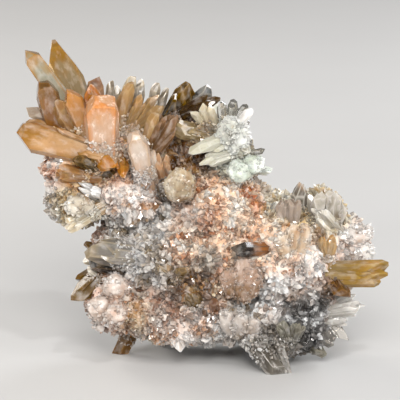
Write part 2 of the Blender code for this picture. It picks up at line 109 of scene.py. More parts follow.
def crystals_of(table, place):
    """The crystals of a table, with the function that turns their places into world places."""
    return [
        Crystal(name, place(*row[:3]), place(*row[3:6]), *row[6:]) for name, *row in rows(table)
    ]


# The rounded lumps of the body: name, middle as x, height as seen and depth, half sizes, fineness.
LUMPS = [Lump(*row) for row in rows("""
spray_root -30 64.5 0 9 10 8 2
spray_root_right -17 65 1 9.5 10.5 8.5 2
left_column_top -39.5 57 0 8.5 10 8 2
left_column_low -38 47.5 0 9 11 7.5 2
upper_middle -22 50.5 1 13.5 14 10 3
brown_saddle -5.4 63 3 10 10.5 12 2
mint_lobe 7 61.5 2 7.5 9.5 11 2
centre_top 3.5 46 1 17 17 11 3
left_shoulder -24 33.5 2 9.5 12 8 2
core -3 31 2 21.5 20 16 3
right_centre 23 34 1 18 18 14.5 3
right_top 34 42.5 3 9.5 11 8 2
right_edge 42 34.5 3 8 10 9 2
right_low 33 22 1 11 14 10 2
left_low -26 17.5 -1 9.5 13 9.5 2
middle_low -6 15.5 0 21 17 10.5 3
right_bottom 24 10.5 -1 14.5 15 9.5 2
back_upper -16 57 14 20 11 12 2
back_centre 4 38 16 28 11.5 17 3
back_low 4 20 16 26 12.5 12 3
""")]

HOLLOWS = [Lump(*row) for row in rows("""
brown_pit -3.5 21.5 -19.5 6.5 7 5.5 2
rust_pit -27.5 53.5 -15 4.5 5.5 3 2
amber_pit 39.5 21.5 -12.5 3.5 5 4 2
""")]

# How a crystal narrows to its end: steps of (share of the length, width left, thickness left).
# The first number of a form is the share of the width that its root has.
FORMS = {
    "spear": (0.72, ((0.60, 1.0, 1.0), (0.86, 0.62, 0.60), (1.0, 0.0, 0.0))),
    "chisel": (0.80, ((0.82, 1.0, 1.0), (1.0, 0.52, 0.10))),
    "blunt": (0.84, ((0.86, 1.0, 1.0), (1.0, 0.62, 0.55))),
    "lath": (0.90, ((0.88, 1.0, 1.0), (1.0, 0.45, 0.30))),
    "point": (0.90, ((0.50, 1.0, 1.0), (1.0, 0.0, 0.0))),
    "stub": (1.0, ((1.0, 1.0, 1.0),)),
}

# The looks of the large crystals: the kind of material, then the colour at the root, in the
# middle, at the tip and along the edges.
# The colours of the foot_clear look are darkened as painted shade, for the front feet that stand
# low in shade.
LOOKS = {row[0]: Look(*row) for row in rows("""
pale_gold hazy #A8905E #B0AE9E #B89654 #BE8C3C
gold_grey hazy #5E4C32 #A69474 #A88034 #B08A40
brown_orange hazy #AA8654 #A0723A #846232 #A67C44
golden_orange hazy #E4C496 #D6A66C #D69E54 #D69E4C
peach milky #D8BCA4 #CAAA90 #CC9E74 #CA8640
vivid_orange milky #9A5A0C #A86608 #A66404 #AC7018
brown hazy #8E7258 #A08068 #B08872 #C09C78
smoky milky #665C4E #7A7064 #8C8274 #B4A894
tan hazy #CCA672 #C8A678 #C4A270 #D4BA8C
grey_clear milky #7A6E58 #8E8472 #A69C8A #C8BCA6
beige hazy #D4AA72 #CAA672 #C29E6C #DAB98C
mauve_tan hazy #8E6E4A #987654 #A28264 #B4906C
white_rose milky #C4A48C #C8B8AA #CEC2B6 #B89C80
golden hazy #EAC8A2 #DAB68C #BC9250 #AE8030
pale_bud hazy #A89078 #B8A692 #D0C0AE #D8C8B4
amber hazy #B8966C #BC9464 #B48C5C #CCAC7C
olive_dark hazy #5A4828 #665434 #7E6438 #A88648
orange_slab hazy #A87430 #CE923A #CC8A2C #D8A452
ochre hazy #A47644 #B68852 #C29464 #CEAA7A
bright_white milky #D6CEC4 #EAE6E2 #F2F0EC #FFFFFF
cream_white milky #9C8464 #CCC2B0 #DAD2C4 #F2EEE6
cream milky #A88C66 #BCAC90 #C8BAA2 #DCD2BE
dull_cream milky #80643E #AC9070 #BCAA8C #D0C2AA
olive_brown milky #1C140A #342612 #4A3620 #665036
pale_peach hazy #D59C70 #E0B48E #DDB692 #EBCBA8
yellow_olive hazy #2C2004 #483402 #886604 #A27E0A
grey_blue hazy #5C5850 #626466 #787C7E #B0A898
ridge_brown hazy #33260F #5A401A #6A4E22 #7C6034
smoky_slab hazy #7E6A48 #A08C68 #B09C78 #C8B48C
straw_white hazy #C79A52 #E8DCC0 #EDE4CE #F6F0DE
mint_cream hazy #E6E2D0 #E8E6D6 #E6E0C8 #F6F4E8
mint_white milky #C0BAA6 #D2D2C8 #DEE0D8 #F4F4F0
mint_clear glass #D0D0C6 #C8CAC4 #CED0CA #EAECE6
mint_grey glass #BCB2A2 #B8AEA0 #C0B8AC #D8CEC2
dark_glass glass #A8AAA0 #98A0A0 #929C9C #CCC0B0
mint_green milky #B8C0AC #CED6C8 #DAE2D8 #EEF2EC
white_rim_clear hazy #B0A696 #8A8074 #C8A078 #F0ECE2
wall_cream hazy #A4927A #CCC4B6 #D8D2C6 #F2ECE4
mauve hazy #F4E6D8 #DECCBC #BCAA9A #D8CCC0
peach_light milky #BE9670 #D2B698 #DCC8B2 #EEE0D0
honey hazy #E2C094 #DEBC8C #CEA468 #E8D0A8
snow milky #D6BCA8 #E0D4CC #EAE2DC #F8F6F2
gold_prism hazy #BCA274 #BE9848 #A48644 #CCAC5C
amber_dark hazy #4E3214 #6E4818 #86602A #A07A40
clear_white hazy #C2BAAE #D8D4CC #E6E2DC #FAF8F4
edge_glass glass #C4BCAC #D0CCC4 #DCD8D0 #F0ECE4
smoky_top hazy #B0AAA4 #A09A92 #86765E #D2C2A6
smoky_block hazy #3A3228 #1C1A1A #2A2826 #8A7458
straw hazy #785826 #80642A #6C4C18 #9C7C3A
pink_white milky #BC9274 #C8B0A0 #D2C0B4 #E4DAD2
rose milky #94704F #A68870 #AE8E78 #BEA492
pit_brown hazy #5E4A30 #80683F #9A8058 #B89C70
rust hazy #6E4424 #8C5E3A #9C704E #B48E6C
pale_grey milky #A89888 #BAAEA4 #C6BCB4 #D6CEC8
olive_grey hazy #5E5A4A #868072 #A09C8E #BCB8AA
white_cone milky #C68A5C #E6DAD0 #F0EAE6 #F8F4F0
dark_lens hazy #B8824E #3C3836 #8E8074 #6C6056
foot_orange hazy #866C44 #88621C #9A6C1A #AA803A
foot_clear milky #524C44 #5A544C #646058 #7A746A
""")}

# Each piece is a named family of large crystals: name, root and end as x, height as seen and
# depth, width, flatness, form and look. A fan of thin blades has the width of a blade after it, a
# knob has the length in mm of the small crystals on it and how thickly they grow, and on a bare
# crystal no small ones grow.
FAMILIES = {
    "spray_blades": """
pale_blade -31.5 63 1 -52.2 91.8 -3 6.4 0.62 chisel pale_gold
tall_spear -31.5 63.5 3 -44.3 95.2 7 8.6 0.7 spear gold_grey bare
brown_stub -41 60.5 -3 -47 82.6 -6 6.8 0.8 blunt brown_orange
amber_blade -33 64.5 -7 -39.6 80.2 -11 5.8 0.6 spear golden_orange
peach_giant -29.5 60.5 -7 -30 77.6 -15 10.6 0.6 chisel peach
orange_back -31 66 -4 -33.2 82 -9 6.6 0.7 spear vivid_orange
brown_back -31 71 0 -32.6 84.4 2 5.6 0.8 blunt brown
tan_upright -25.2 67.5 -6 -21.9 82.2 -9 4.9 0.7 blunt tan
clear_cap -25.6 67 -1 -20.9 84.2 -1 3.8 0.8 blunt grey_clear
grey_twin -21.4 67 -1 -17.8 83.8 -1 3.6 0.8 lath smoky
beige_fan_left -23 67.5 -6 -17.2 79.8 -9 3.6 0.7 chisel beige fan 1.9
beige_fan_middle -21.5 68 -6 -13 79.2 -8 4.6 0.7 chisel beige fan 2.3
beige_fan_right -20 68 -7 -11 75.8 -12 4.2 0.7 chisel tan fan 2.2
brown_wedge -16 60.5 -9 -8.2 73.2 -14 7 0.55 chisel mauve_tan fan 1.8
tan_stub -17 62 -9 -14.2 72.8 -14 4 0.7 blunt tan
white_lozenge -16.8 54 -10 -20.2 67.2 -18 6.6 0.6 spear white_rose
golden_left -29.5 60.5 -8 -54.9 67.4 -10 9 0.65 spear golden bare
golden_ridge -36.5 66 -5 -53 69.8 -7 5 0.6 chisel golden
left_bud -38 70.6 -2 -52.4 73.4 -4 4.4 0.85 blunt pale_bud
amber_wedge -36 65 -5 -43.6 76.6 -9 5.4 0.6 chisel amber
smoky_tip_left -29.4 66 3 -27.2 83.4 5 2.4 0.8 lath smoky
smoky_tip_middle -26.4 66 3 -25.2 81.6 5 2.4 0.8 lath smoky
smoky_tip_right -16.6 66 3 -13.8 82.4 6 3.2 0.8 blunt smoky
smoky_tip_far -14.6 66 4 -11.2 81 6 2.8 0.8 blunt smoky
""",
    "crystals_under_spray": """
olive_lens -30 56.5 -9 -37.6 60.4 -14 4.4 0.7 blunt olive_dark
orange_slab -31.5 60 -8 -26.5 57 -15 6 0.5 blunt orange_slab
orange_chip -24.5 60 -8 -22.4 54 -13 4 0.7 spear orange_slab
ochre_block -34 54.5 -9 -44 55.6 -12 5.2 0.8 lath ochre fan 1.8
white_blade_long -28.5 46.8 -5 -37.2 53.8 -12 3.4 0.6 chisel bright_white fan 1.2
white_blade_short -27 48 -7 -34.2 51.6 -15 3.2 0.7 chisel bright_white fan 1.2
white_block -33 45.6 -10 -40 46.6 -14 6.2 0.7 blunt cream_white knob 1.6 2.6
cream_stub -31.5 44.5 -9 -42 38.6 -13 5.8 0.75 blunt cream fan 2.4
cream_dome -6 48 -12 -7.4 55.6 -20 9.2 0.8 blunt dull_cream knob 1 1.4
cream_shadow -10 49 -11 -11.8 52.6 -16 6.4 0.8 blunt olive_brown knob 0.9 2
peach_sliver_left -11.4 51 -6 -14.6 61.6 -13 3.6 0.6 chisel pale_peach fan 1.5
peach_sliver_right -9.8 51 -5 -11.4 60.4 -12 3.4 0.6 chisel pale_peach fan 1.5
""",
    "ridge_crystals": """
yellow_ridge -12 67.5 2 -3.4 81.6 -1 7 0.6 chisel yellow_olive
grey_ridge -7 72 2 2.8 79.4 -1 6.4 0.6 blunt grey_blue
brown_ridge -9 71.5 -1 5.4 77.4 -4 5.4 0.6 spear ridge_brown fan 1.6
smoky_slab 0.5 67 -7 -8.8 68.6 -12 5.6 0.7 blunt smoky_slab
straw_left 1 69 -6 -3 74 -11 3 0.7 lath straw_white
straw_middle 2.5 69 -6 -0.6 75.6 -11 2.8 0.7 lath straw_white
straw_right 4 68.5 -6 1.6 75.2 -11 2.8 0.7 lath straw_white
""",
    "mint_group": """
mint_lower_left 9 67 -7 -4.6 61.2 -13 4.4 0.7 spear mint_cream
mint_second 10 61.5 -7 -1.8 58.6 -12 4.2 0.7 blunt mint_cream fan 2
mint_body 5 63 -7 9.4 71.4 -12 6.4 0.6 chisel mint_white knob 1.5 3
mint_body_right 9.5 60 -7 12.4 69.4 -11 5 0.6 chisel mint_white knob 1.5 3
mint_up_left 6.5 68 -5 5.2 76.4 -8 3.2 0.8 lath mint_clear
mint_up_middle 8 68 -4 9.2 77.2 -6 3.4 0.8 lath mint_clear
mint_up_right 9 68 -4 12.6 75.8 -6 3 0.8 lath mint_clear
mint_bright 8.5 67 -6 14.2 74.4 -9 2.8 0.8 lath bright_white
mint_side_high 8 66 -2 14.2 69.8 -4 3.4 0.8 blunt mint_grey
mint_side_low 8 63 -2 14.2 65.6 -4 3.6 0.8 blunt mint_grey
glass_needle 12 60.8 -5 18.2 62.2 -8 1.9 0.75 lath dark_glass
green_cushion 13.5 57 -7 8 55 -13 6.6 0.8 blunt mint_green knob 0.9 2.4
green_cushion_right 11 57.5 -6 17.6 58.4 -10 6 0.8 blunt mint_green knob 0.9 2.4
green_bud 14 56.4 -5 20.6 56.2 -8 2.8 0.9 blunt mint_green
""",
    "shoulder_crystals": """
peak 28.4 45 -4 28.9 53.6 -7 5.4 0.7 point white_rim_clear
cream_wall_left 34 41.5 -6 33.4 51.4 -8 6.2 0.7 lath wall_cream fan 2.8
cream_wall_right 38 41 -5 38.2 51.4 -8 6.6 0.7 lath wall_cream fan 3
cream_wall_edge 38 40 -4 41.4 47 -6 5.6 0.7 blunt wall_cream fan 2.6
cream_rib 40.4 37.4 -3 33 45.2 -11 5.4 0.6 chisel cream_white fan 1.5
mauve_prism_left 24 40 -9 23.6 48 -12 4.4 0.7 lath mauve fan 1.4
mauve_prism_right 26.4 39.6 -9 27 48.6 -13 4.6 0.7 lath mauve fan 1.4
peach_fan_left 25 31 -14 22 37.4 -20 4.8 0.6 chisel peach_light knob 1.3 2
peach_fan_middle 26.5 31 -13.5 26.6 40.4 -19.5 5 0.6 chisel peach_light knob 1.3 1.6
peach_fan_right 28 31 -14 30.4 40.2 -19 4.6 0.6 chisel peach_light knob 1.3 2
honey_fan_left 36.5 30 -10 34.6 37.6 -15 3.6 0.6 lath honey fan 1.6
honey_fan_right 37 30 -10 38.8 37.8 -15 4.2 0.6 chisel honey fan 1.7
white_corner 42 36 -2 50.2 38.2 -5 6 0.8 blunt snow knob 1.5 3
white_corner_low 43 31 -2 50.4 32.4 -5 6.2 0.8 blunt snow knob 1.5 3
""",
    "gold_prisms": """
gold_prism_high 40.5 27.2 -8 54.8 27.4 -11 5.2 0.8 lath gold_prism bare
gold_prism_low 40.5 24.2 -9 54.6 24.4 -12 5.2 0.8 lath gold_prism bare
amber_drop 38.5 23.5 -8 41 18.4 -14 6.4 0.8 blunt amber_dark
""",
    "left_flank": """
smoky_block -20 31.5 -8 -35.2 33.6 -10 9.4 0.75 lath smoky_top
smoky_block_low -22 27.6 -6 -33.6 29.2 -9 5.6 0.8 blunt smoky_block
straw_flank -29 26.5 -4 -38.6 17 -7 6.8 0.7 blunt straw
white_flank_cap -30 24 -5 -34.4 27.4 -8 2.6 0.7 lath cream_white
pink_lump_high -25.4 19.5 -10 -26.4 24.4 -15 7.6 0.9 blunt pink_white knob 1.4 1.5
pink_lump_left -27 16 -8.5 -33.8 15.4 -12.5 7.4 0.9 blunt pink_white knob 1.5 1.6
white_lump_low -24 15 -10 -27.4 13.2 -17 6.2 0.9 blunt pink_white knob 1.6 2.4
""",
    "middle_crystals": """
smoky_eye 15.8 33.1 -16 8.4 32.8 -22 4.8 0.8 blunt dark_lens bare
rose_panel 11 18.5 -12.6 13.6 29.6 -16.6 10.4 0.4 blunt rose knob 1.2 2.6
rose_panel_left 8 20 -13 7.4 27 -17 6.6 0.5 blunt rose knob 1.2 2.6
pit_shard_left -8.5 24 -16 -5.4 28 -20 3.8 0.6 chisel pit_brown
pit_shard_low -2 16 -15 -4.6 20.4 -19 5.4 0.6 chisel pit_brown fan 2
rust_shard 2.4 14 -15 4 18.6 -20 3.6 0.6 chisel rust
pale_fan_left 9.6 8 -13 5.4 14.6 -17 5.4 0.6 chisel pale_grey knob 1.5 1.7
pale_fan_middle 11.4 7 -13 10.6 13.6 -18 5.4 0.6 chisel pale_grey knob 1.5 1.4
pale_fan_right 13.2 6.4 -13 15.4 12.4 -17 4.6 0.6 chisel pale_grey knob 1.5 1.7
grey_fan_left 25 6.4 -14 23 12.4 -18 4.2 0.6 chisel olive_grey fan 1.5
grey_fan_right 26.4 6.4 -14 28.4 12 -18 4.6 0.6 chisel olive_grey fan 1.6
""",
    "lower_edge": """
edge_upper 38 16.4 -6 45 20.6 -9 4.2 0.8 spear clear_white fan 1.6
edge_long 36 14.6 -7 48.2 16 -11 5 0.75 spear clear_white fan 1.8
edge_middle 34 12.2 -5 43.4 12.8 -8 4.4 0.8 blunt clear_white fan 1.6
edge_fang 36 13 -4 43.4 5.4 -6 3.8 0.7 point edge_glass
edge_low 32 9 -5 40 5.2 -8 4.8 0.8 blunt edge_glass fan 1.8
edge_foot 31 5.8 -4 36.2 0.9 -7 4.4 0.8 lath olive_grey
cone -7.8 8.6 -11 -5.6 2.2 -12 5.4 0.9 point white_cone
cream_under_left -13 10 -7 -13.2 4.4 -8 6.2 0.8 blunt cream knob 1.3 3
cream_under_far -17 10.6 -6 -16.6 6.2 -7 4.4 0.8 blunt cream knob 1.2 3
clear_under 2 8.6 -6 2 3.6 -7 3.6 0.8 blunt edge_glass knob 1.2 3
pale_under 9 8 -8 7 3.8 -10 5.2 0.8 blunt pale_grey fan 2
left_toe -31 12 -5 -30.2 8.4 -7 3.2 0.8 blunt snow knob 1.1 3
""",
}

# Roots and ends of the feet are x, depth and z.
# The two front feet take the foot_clear look, whose dark colours are painted shade.
FEET = """
left_foot -20 5 11 -26.2 9 -3 5.4 0.8 stub foot_orange
right_foot 14 -13.5 10 24.2 -18.6 -3 6.4 0.85 stub foot_clear
right_foot_twin 21.5 -13 10 25.4 -17.2 -3 3.8 0.85 stub foot_clear
back_foot_right 16 16 12 20 22 -3 9 0.85 stub pale_grey
back_foot_left -10 15 12 -13 21 -3 8 0.85 stub straw
"""

# The groups on the back and the top: the middle of the roots and the way they lean as x, depth and
# z, the number of crystals, their length, width and spread, the seed and the looks.
BACK_GROUPS = [Group(row[0], row[1:4], row[4:7], *row[7:12], row[12:]) for row in rows("""
back_spray -26 12 61 -0.35 0.75 0.75 7 17 6.6 0.55 11 golden peach pale_gold golden_orange
back_rosette -5 20 47 -0.15 1 0.3 5 14 7 0.6 12 pale_peach white_rose beige
back_fan 24 18 36 0.45 0.95 0.35 5 15 6.4 0.55 13 peach_light honey wall_cream
back_skirt 5 22 18 0.05 1 -0.05 5 13 6.6 0.6 14 pale_grey rose clear_white
back_corner -24 6 27 -0.8 0.65 0.1 4 15 6.4 0.5 15 grey_clear straw smoky_block
top_tuft 3 8 65 0.15 0.7 0.85 5 12 4.8 0.5 16 mint_clear mint_white mint_grey
""")]

# The colours of one kind of growth: the crust, the small crystals on it from stained to white, and
# the share of those that are clear.
# The white end of the dark palette is painted glints: pure white small crystals among near-black
# ones.
PALETTES = {row[0]: Palette(*row) for row in rows("""
peach #D8B294 #BC7034 #DCB696 #ECD8C2 #FCF6EE 0.22
pink #CAAC9A #AE7044 #D4B6A6 #E6D4CA #FCF6F2 0.25
snow #D4C4BA #C48C5C #E0D0C6 #EEE6E0 #FFFDFB 0.28
white #EEE4DC #E0C4B0 #F2E8E2 #FFFDFB #FFFFFF 0.12
cream #C4B08C #A8823E #D0BE9C #E2D8C0 #F8F4E8 0.3
gold #D29C62 #BC7020 #DEAA66 #EECCA2 #F8EAD6 0.25
orange #B0703E #A0521A #C0804A #DAB08C #F4E8DC 0.25
ochre #8E6636 #7A5220 #A67C40 #D0B07C #F0E0C4 0.25
rust #7E440E #7C3C0A #9C5C1C #BE8444 #E4C290 0.28
brown #4A2B06 #3A1F01 #663C0A #986824 #D8B47C 0.25
mauve #9E8070 #865030 #AA8E7C #C4B0A2 #EADED6 0.28
glass #C0B6AC #96805E #D0C8C0 #ECE8E4 #FFFFFF 0.38
smoky #786E62 #584E42 #8A8074 #B4AEA4 #F0EEEC 0.45
dark #0E0E0F #060608 #161618 #4A4A4A #FFFFFF 0.6
mint #C4C4B2 #B8B096 #CED0C0 #E2E8DE #F8FAF6 0.35
""")}

# Where the cluster has which growth: the centre as x, height as seen and depth, the reach, the
# palette and the usual length of the small crystals.
ZONES = [Zone(*row) for row in rows("""
spray_base -25 66 -10 8 peach 1.5
spray_top -22 77 3 7 brown 1.8
spray_left -42 68 -4 7 gold 1.6
spray_gaps -22 70 -6 4 orange 1.4
rust_hollow -27 57 -10 4.5 rust 1.3
left_crust -46 57 -6 5 pink 1.4
ochre_band -37 56 -10 5 gold 1.4
left_cream -39 44 -8 5.5 cream 1.6
left_fringe -48 46 -2 5 glass 1.6
white_band -20 49 -14 7 snow 1.4
brown_saddle -5 63 -6 6.5 brown 1.5
saddle_rust -12 58 -10 4 gold 1.4
mint 9 62 -7 6 mint 1.5
rust_patch 16 52 -10 4 orange 1.3
peach_centre 4 48 -14 6.5 peach 1.5
mauve_middle -3 42 -15 5 mauve 1.4
glassy_left -18 35 -12 8 glass 3
dark_seam -26 38 -10 3 smoky 2.4
pink_middle -5 35 -17 6.5 peach 1.6
olive_gap 0 30 -17 3.5 smoky 1.5
shoulder 29 43 -9 6.5 cream 1.6
right_crest 38 44 -4 6 cream 1.5
smoky_window 34 38 -10 3 brown 1.5
right_snow 46 35 -4 6 snow 1.3
peach_right 24 34 -15 7 peach 1.5
pale_right 27 25 -15 8 snow 1.4
amber_pocket 39 22 -10 3.5 brown 1.4
rose_middle 12 23 -16 6.5 peach 1.6
brown_pit -4 22 -15 7 brown 1.5
glassy_low_left -14 26 -15 6 glass 2
tan_low_left -15 15 -15 7 mauve 1.5
pink_lumps -28 17 -11 6 pink 1.1
cream_low -11 8 -10 6 snow 1.4
comb_low 0 13 -16 5 snow 1.6
grey_low 11 9 -13 6.5 glass 1.7
tan_patch -20 14 -13 5 ochre 1.3
snow_low 18.5 19 -13 6 white 3
dome_shadow -12 51 -14 4.5 brown 1.2
rust_low 4 16 -17 3 rust 1.2
dark_upper 26 19 -15 4.5 glass 1.4
dark_low 31 12 -13 7.5 dark 1.5
right_tips 42 14 -7 5 snow 1.6
right_foot 22 5 -13 5 smoky 1.6
back_gold -24 66 18 12 gold 1.7
back_pink -6 46 26 13 pink 1.7
back_cream 28 36 24 13 cream 1.6
back_glass 2 18 26 13 glass 1.8
back_left -28 30 14 12 mauve 1.7
back_right_low 30 14 16 11 smoky 1.6
top 2 68 10 8 cream 1.6
""")]

# The kinds of crystal, the first three for small ones: how much light passes, how rough, how much
# light spreads inside, how much paler than its colours, and the tint and density of the inside.
MATERIALS = {
    "clear": (0.70, 0.03, 0.4, 0.10, (0.92, 0.86, 0.78), 10.0),
    "bright": (0.38, 0.04, 0.5, 0.06, (1, 1, 1), 0.0),
    "frosted": (0.18, 0.13, 0.7, 0.06, (1, 1, 1), 0.0),
    "crust": (0.0, 0.22, 0.5, 0.0, (1, 1, 1), 0.0),
    "milky": (0.2, 0.15, 0.6, 0.0, (0.95, 0.88, 0.80), 15.0),
    "hazy": (0.55, 0.06, 0.35, 0.0, (0.95, 0.84, 0.66), 14.0),
    "glass": (0.92, 0.03, 0.0, 0.35, (0.80, 0.76, 0.68), 60.0),
}
KINDS = tuple(MATERIALS)
COLOURS = ("root_tint", "middle_tint", "tip_tint", "edge_tint")
VECTORS = ("growth", "place")
FIELDS = ("points", "loops", "totals", "slots") + VECTORS + COLOURS


def linear(code):
    """The linear light of a #RRGGBB colour."""
    parts = np.array([int(code[i : i + 2], 16) for i in (1, 3, 5)]) / 255.0
    return np.where(parts <= 0.04045, parts / 12.92, ((parts + 0.055) / 1.055) ** 2.4)


def linked(name, data):
    """A new object of the scene that holds this data."""
    made = bpy.data.objects.new(name, data)
    bpy.context.scene.collection.objects.link(made)
    return made


def configured(made, settings):
    """The same thing with these properties set."""
    for key, value in settings.items():
        setattr(made, key, value)
    return made


def mixed(a, b, share):
    share = np.asarray(share)[..., None]
    return a * (1 - share) + b * share


def unit(vectors):
    return vectors / np.linalg.norm(vectors, axis=1, keepdims=True)


class Batch:
    """Crystals that are joined in one mesh piece."""

    def __init__(self):
        self.parts = {field: [] for field in FIELDS}
        self.count = 0

    def add(self, kind, points, loops, totals, growth, share, rim, tints):
        """Adds faces: loops lists the corners of all, totals how many each face has. share is how
        far along the crystal a point lies, rim how near to an edge."""
        place = np.zeros((len(points), 3))
        place[:, 0], place[:, 1] = share, rim
        slots = np.full(len(totals), KINDS.index(kind))
        tints = [np.broadcast_to(tint, (len(points), 3)) for tint in tints]
        values = (points, loops + self.count, totals, slots, growth, place, *tints)
        for field, value in zip(FIELDS, values):
            self.parts[field].append(value)
        self.count += len(points)

    def piece(self, name, materials):
        """One mesh piece of all that was added."""
        fields = {field: np.concatenate(parts) for field, parts in self.parts.items()}
        totals = fields["totals"].astype(np.int32)
        mesh = bpy.data.meshes.new(name)
        mesh.vertices.add(self.count)
        mesh.vertices.foreach_set("co", fields["points"].astype(np.float32).ravel())
        mesh.loops.add(len(fields["loops"]))
        mesh.loops.foreach_set("vertex_index", fields["loops"].astype(np.int32))
        mesh.polygons.add(len(totals))
        mesh.polygons.foreach_set("loop_start", (np.cumsum(totals) - totals).astype(np.int32))
        mesh.polygons.foreach_set("material_index", fields["slots"].astype(np.int32))
        mesh.update(calc_edges=True)
        mesh.validate()
        for field in COLOURS:
            layer = mesh.attributes.new(field, "FLOAT_COLOR", "POINT")
            rgba = np.ones((self.count, 4), np.float32)
            rgba[:, :3] = fields[field]
            layer.data.foreach_set("color", rgba.ravel())
        for field in VECTORS:
            layer = mesh.attributes.new(field, "FLOAT_VECTOR", "POINT")
            layer.data.foreach_set("vector", fields[field].astype(np.float32).ravel())
        for material in materials:
            mesh.materials.append(material)
        mesh.shade_flat()
        return linked(name, mesh)


# A crystal is a prism that planes cut to its end. These are the turns of the prism's edges
# round it in degrees, for a broad and for a slender one, and for a plate with an outline.
BROAD_EDGES = (0, 60, 120, 180, 240, 300)
SLENDER_EDGES = (0, 72, 108, 180, 252, 288)
PLATE_EDGES = (0, 40, 140, 180, 220, 320)
BROAD_WIDTH = 5.0
# A root is sunk this deep in mm. A prism has its full width from this share of its first step on,
# but not from lower than this in mm, and its end is at most this much wider.
SUNK = 4.0
SHOULDER_LOW = 0.85
SHORTEST_SHOULDER = 0.01
WIDEST = 1.12
# How uneven shoulders are, as shares of a step, and the small cuts at the end: how many, their
# turns and tilts in degrees, and how deep they go, as shares of the width.
UNEVEN_SHOULDERS = (-0.5, 0.3)
CORNER_CUTS = 2
CORNER_TURNS = (40, 140, 220, 320)
CORNER_STRAY = 15
CORNER_DROP = (0.02, 0.2)
CORNER_TILT = (52, 72)
# The share of its length over which a plate comes to an edge, and how much thinner it gets.
PLATE_EDGE = 0.06
PLATE_TAPER = 0.8
# The chamfers as a share of the width and in mm, and the faces in the middle of large ones.
CHAMFER = 0.012
CHAMFER_LIMITS = (0.05, 0.14)
LARGE_FACE = 0.10
INSET = 0.5
# Points this near to a cut lie on it. A crystal is seen end on when the sine of its angle to the
# view is less than this.
EXACT = 1e-5
END_ON = 0.2


def cut_away(bm, place, normal):
    """Cuts off what lies beyond a plane, and closes the cut with one face."""
    made = bmesh.ops.bisect_plane(
        bm, geom=bm.verts[:] + bm.edges[:] + bm.faces[:], dist=EXACT, plane_co=place,
        plane_no=normal, clear_outer=True,
    )
    rim = [e for e in made["geom_cut"] if isinstance(e, bmesh.types.BMEdge)]
    if len(rim) > 2:
        bmesh.ops.holes_fill(bm, edges=rim, sides=0)


def outline_planes(outline, width, thick, length):
    """The planes that cut a plate to an outline and bring its end to an edge."""
    planes = []
    for (x, z), (next_x, next_z) in zip(outline, outline[1:]):
        place = Vector((x * width, 0, z * length))
        step = Vector((next_x * width, 0, next_z * length)) - place
        planes.append((place, Vector((-step.z, 0, step.x))))
    for side in (-1, 1):
        place = Vector((0, side * thick / 2, (1 - PLATE_EDGE) * length))
        slope = Vector((0, side * PLATE_EDGE * length, PLATE_TAPER * thick / 2))
        planes.append((place, slope))
    return planes


def end_planes(form, width, thick, length, apex, rng):
    """The planes that narrow a prism to its end, as (place, normal)."""
    planes = []
    steps = FORMS[form][1]
    for (low, *before), (high, *after) in zip(steps, steps[1:]):
        for side in (-1, 1):
            for axis, (size, drift) in enumerate(((width, apex), (thick, 0.0))):
                start = low + (high - low) * rng.uniform(*UNEVEN_SHOULDERS)
                place, normal = Vector((0, 0, start * length)), Vector()
                place[axis] = side * before[axis] * size / 2
                normal[axis] = side * (high - start) * length
                normal.z = -side * (drift + side * (after[axis] - before[axis]) * size / 2)
                planes.append((place, normal))
    for _ in range(CORNER_CUTS):
        turn = rng.choice(CORNER_TURNS) + rng.uniform(-CORNER_STRAY, CORNER_STRAY)
        drop = width * rng.uniform(*CORNER_DROP)
        planes.append((Vector((apex, 0, length - drop)), tilted(turn, rng.uniform(*CORNER_TILT))))
    return planes


def tilted(turn, tilt):
    """A direction tilted off the crystal's axis, both angles in degrees."""
    turn, tilt = math.radians(turn), math.radians(tilt)
    across = math.sin(tilt)
    return Vector((math.cos(turn) * across, math.sin(turn) * across, math.cos(tilt)))


def ring(edges, width, thick):
    """The corners of a prism's cross-section, as (x, y)."""
    turns = [math.radians(edge) for edge in edges]
    return [(math.cos(turn) * width / 2, math.sin(turn) * thick / 2) for turn in turns]


def prism(edges, width, thick, ends):
    """A prism whose two ends are given as (z, share of the width)."""
    bm = bmesh.new()
    corners = ring(edges, width, thick)
    low, high = (
        [bm.verts.new((x * share, y * share, z)) for x, y in corners] for z, share in ends
    )
    for i in range(len(edges)):
        k = (i + 1) % len(edges)
        bm.faces.new((low[i], low[k], high[k], high[i]))
    bm.faces.new(low[::-1])
    bm.faces.new(high)
    return bm


def arrays(bm, large_face):
    """The points, faces and nearness of points to edges of a crystal. Faces larger than
    large_face get a smaller one in their middle."""
    bm.verts.index_update()
    points = [np.array(v.co) for v in bm.verts]
    rim = [1.0] * len(points)
    faces = []
    for face in bm.faces:
        corners = [v.index for v in face.verts]
        if face.calc_area() < large_face:
            faces.append(corners)
            continue
        middle = sum(points[i] for i in corners) / len(corners)
        inner = list(range(len(points), len(points) + len(corners)))
        points += [points[i] + (middle - points[i]) * INSET for i in corners]
        rim += [0.0] * len(corners)
        for k, i in enumerate(corners):
            after = (k + 1) % len(corners)
            faces.append([i, corners[after], inner[after], inner[k]])
        faces.append(inner)
    bm.free()
    loops = np.array([i for face in faces for i in face])
    return np.array(points), loops, np.array([len(face) for face in faces]), np.array(rim)


def section(width, thick, outline):
    """The turns of a crystal's edges, and the depth that makes it as thick as it should be."""
    edges = BROAD_EDGES if width >= BROAD_WIDTH else SLENDER_EDGES
    edges = PLATE_EDGES if outline else edges
    return edges, thick / max(math.sin(math.radians(turn)) for turn in edges)


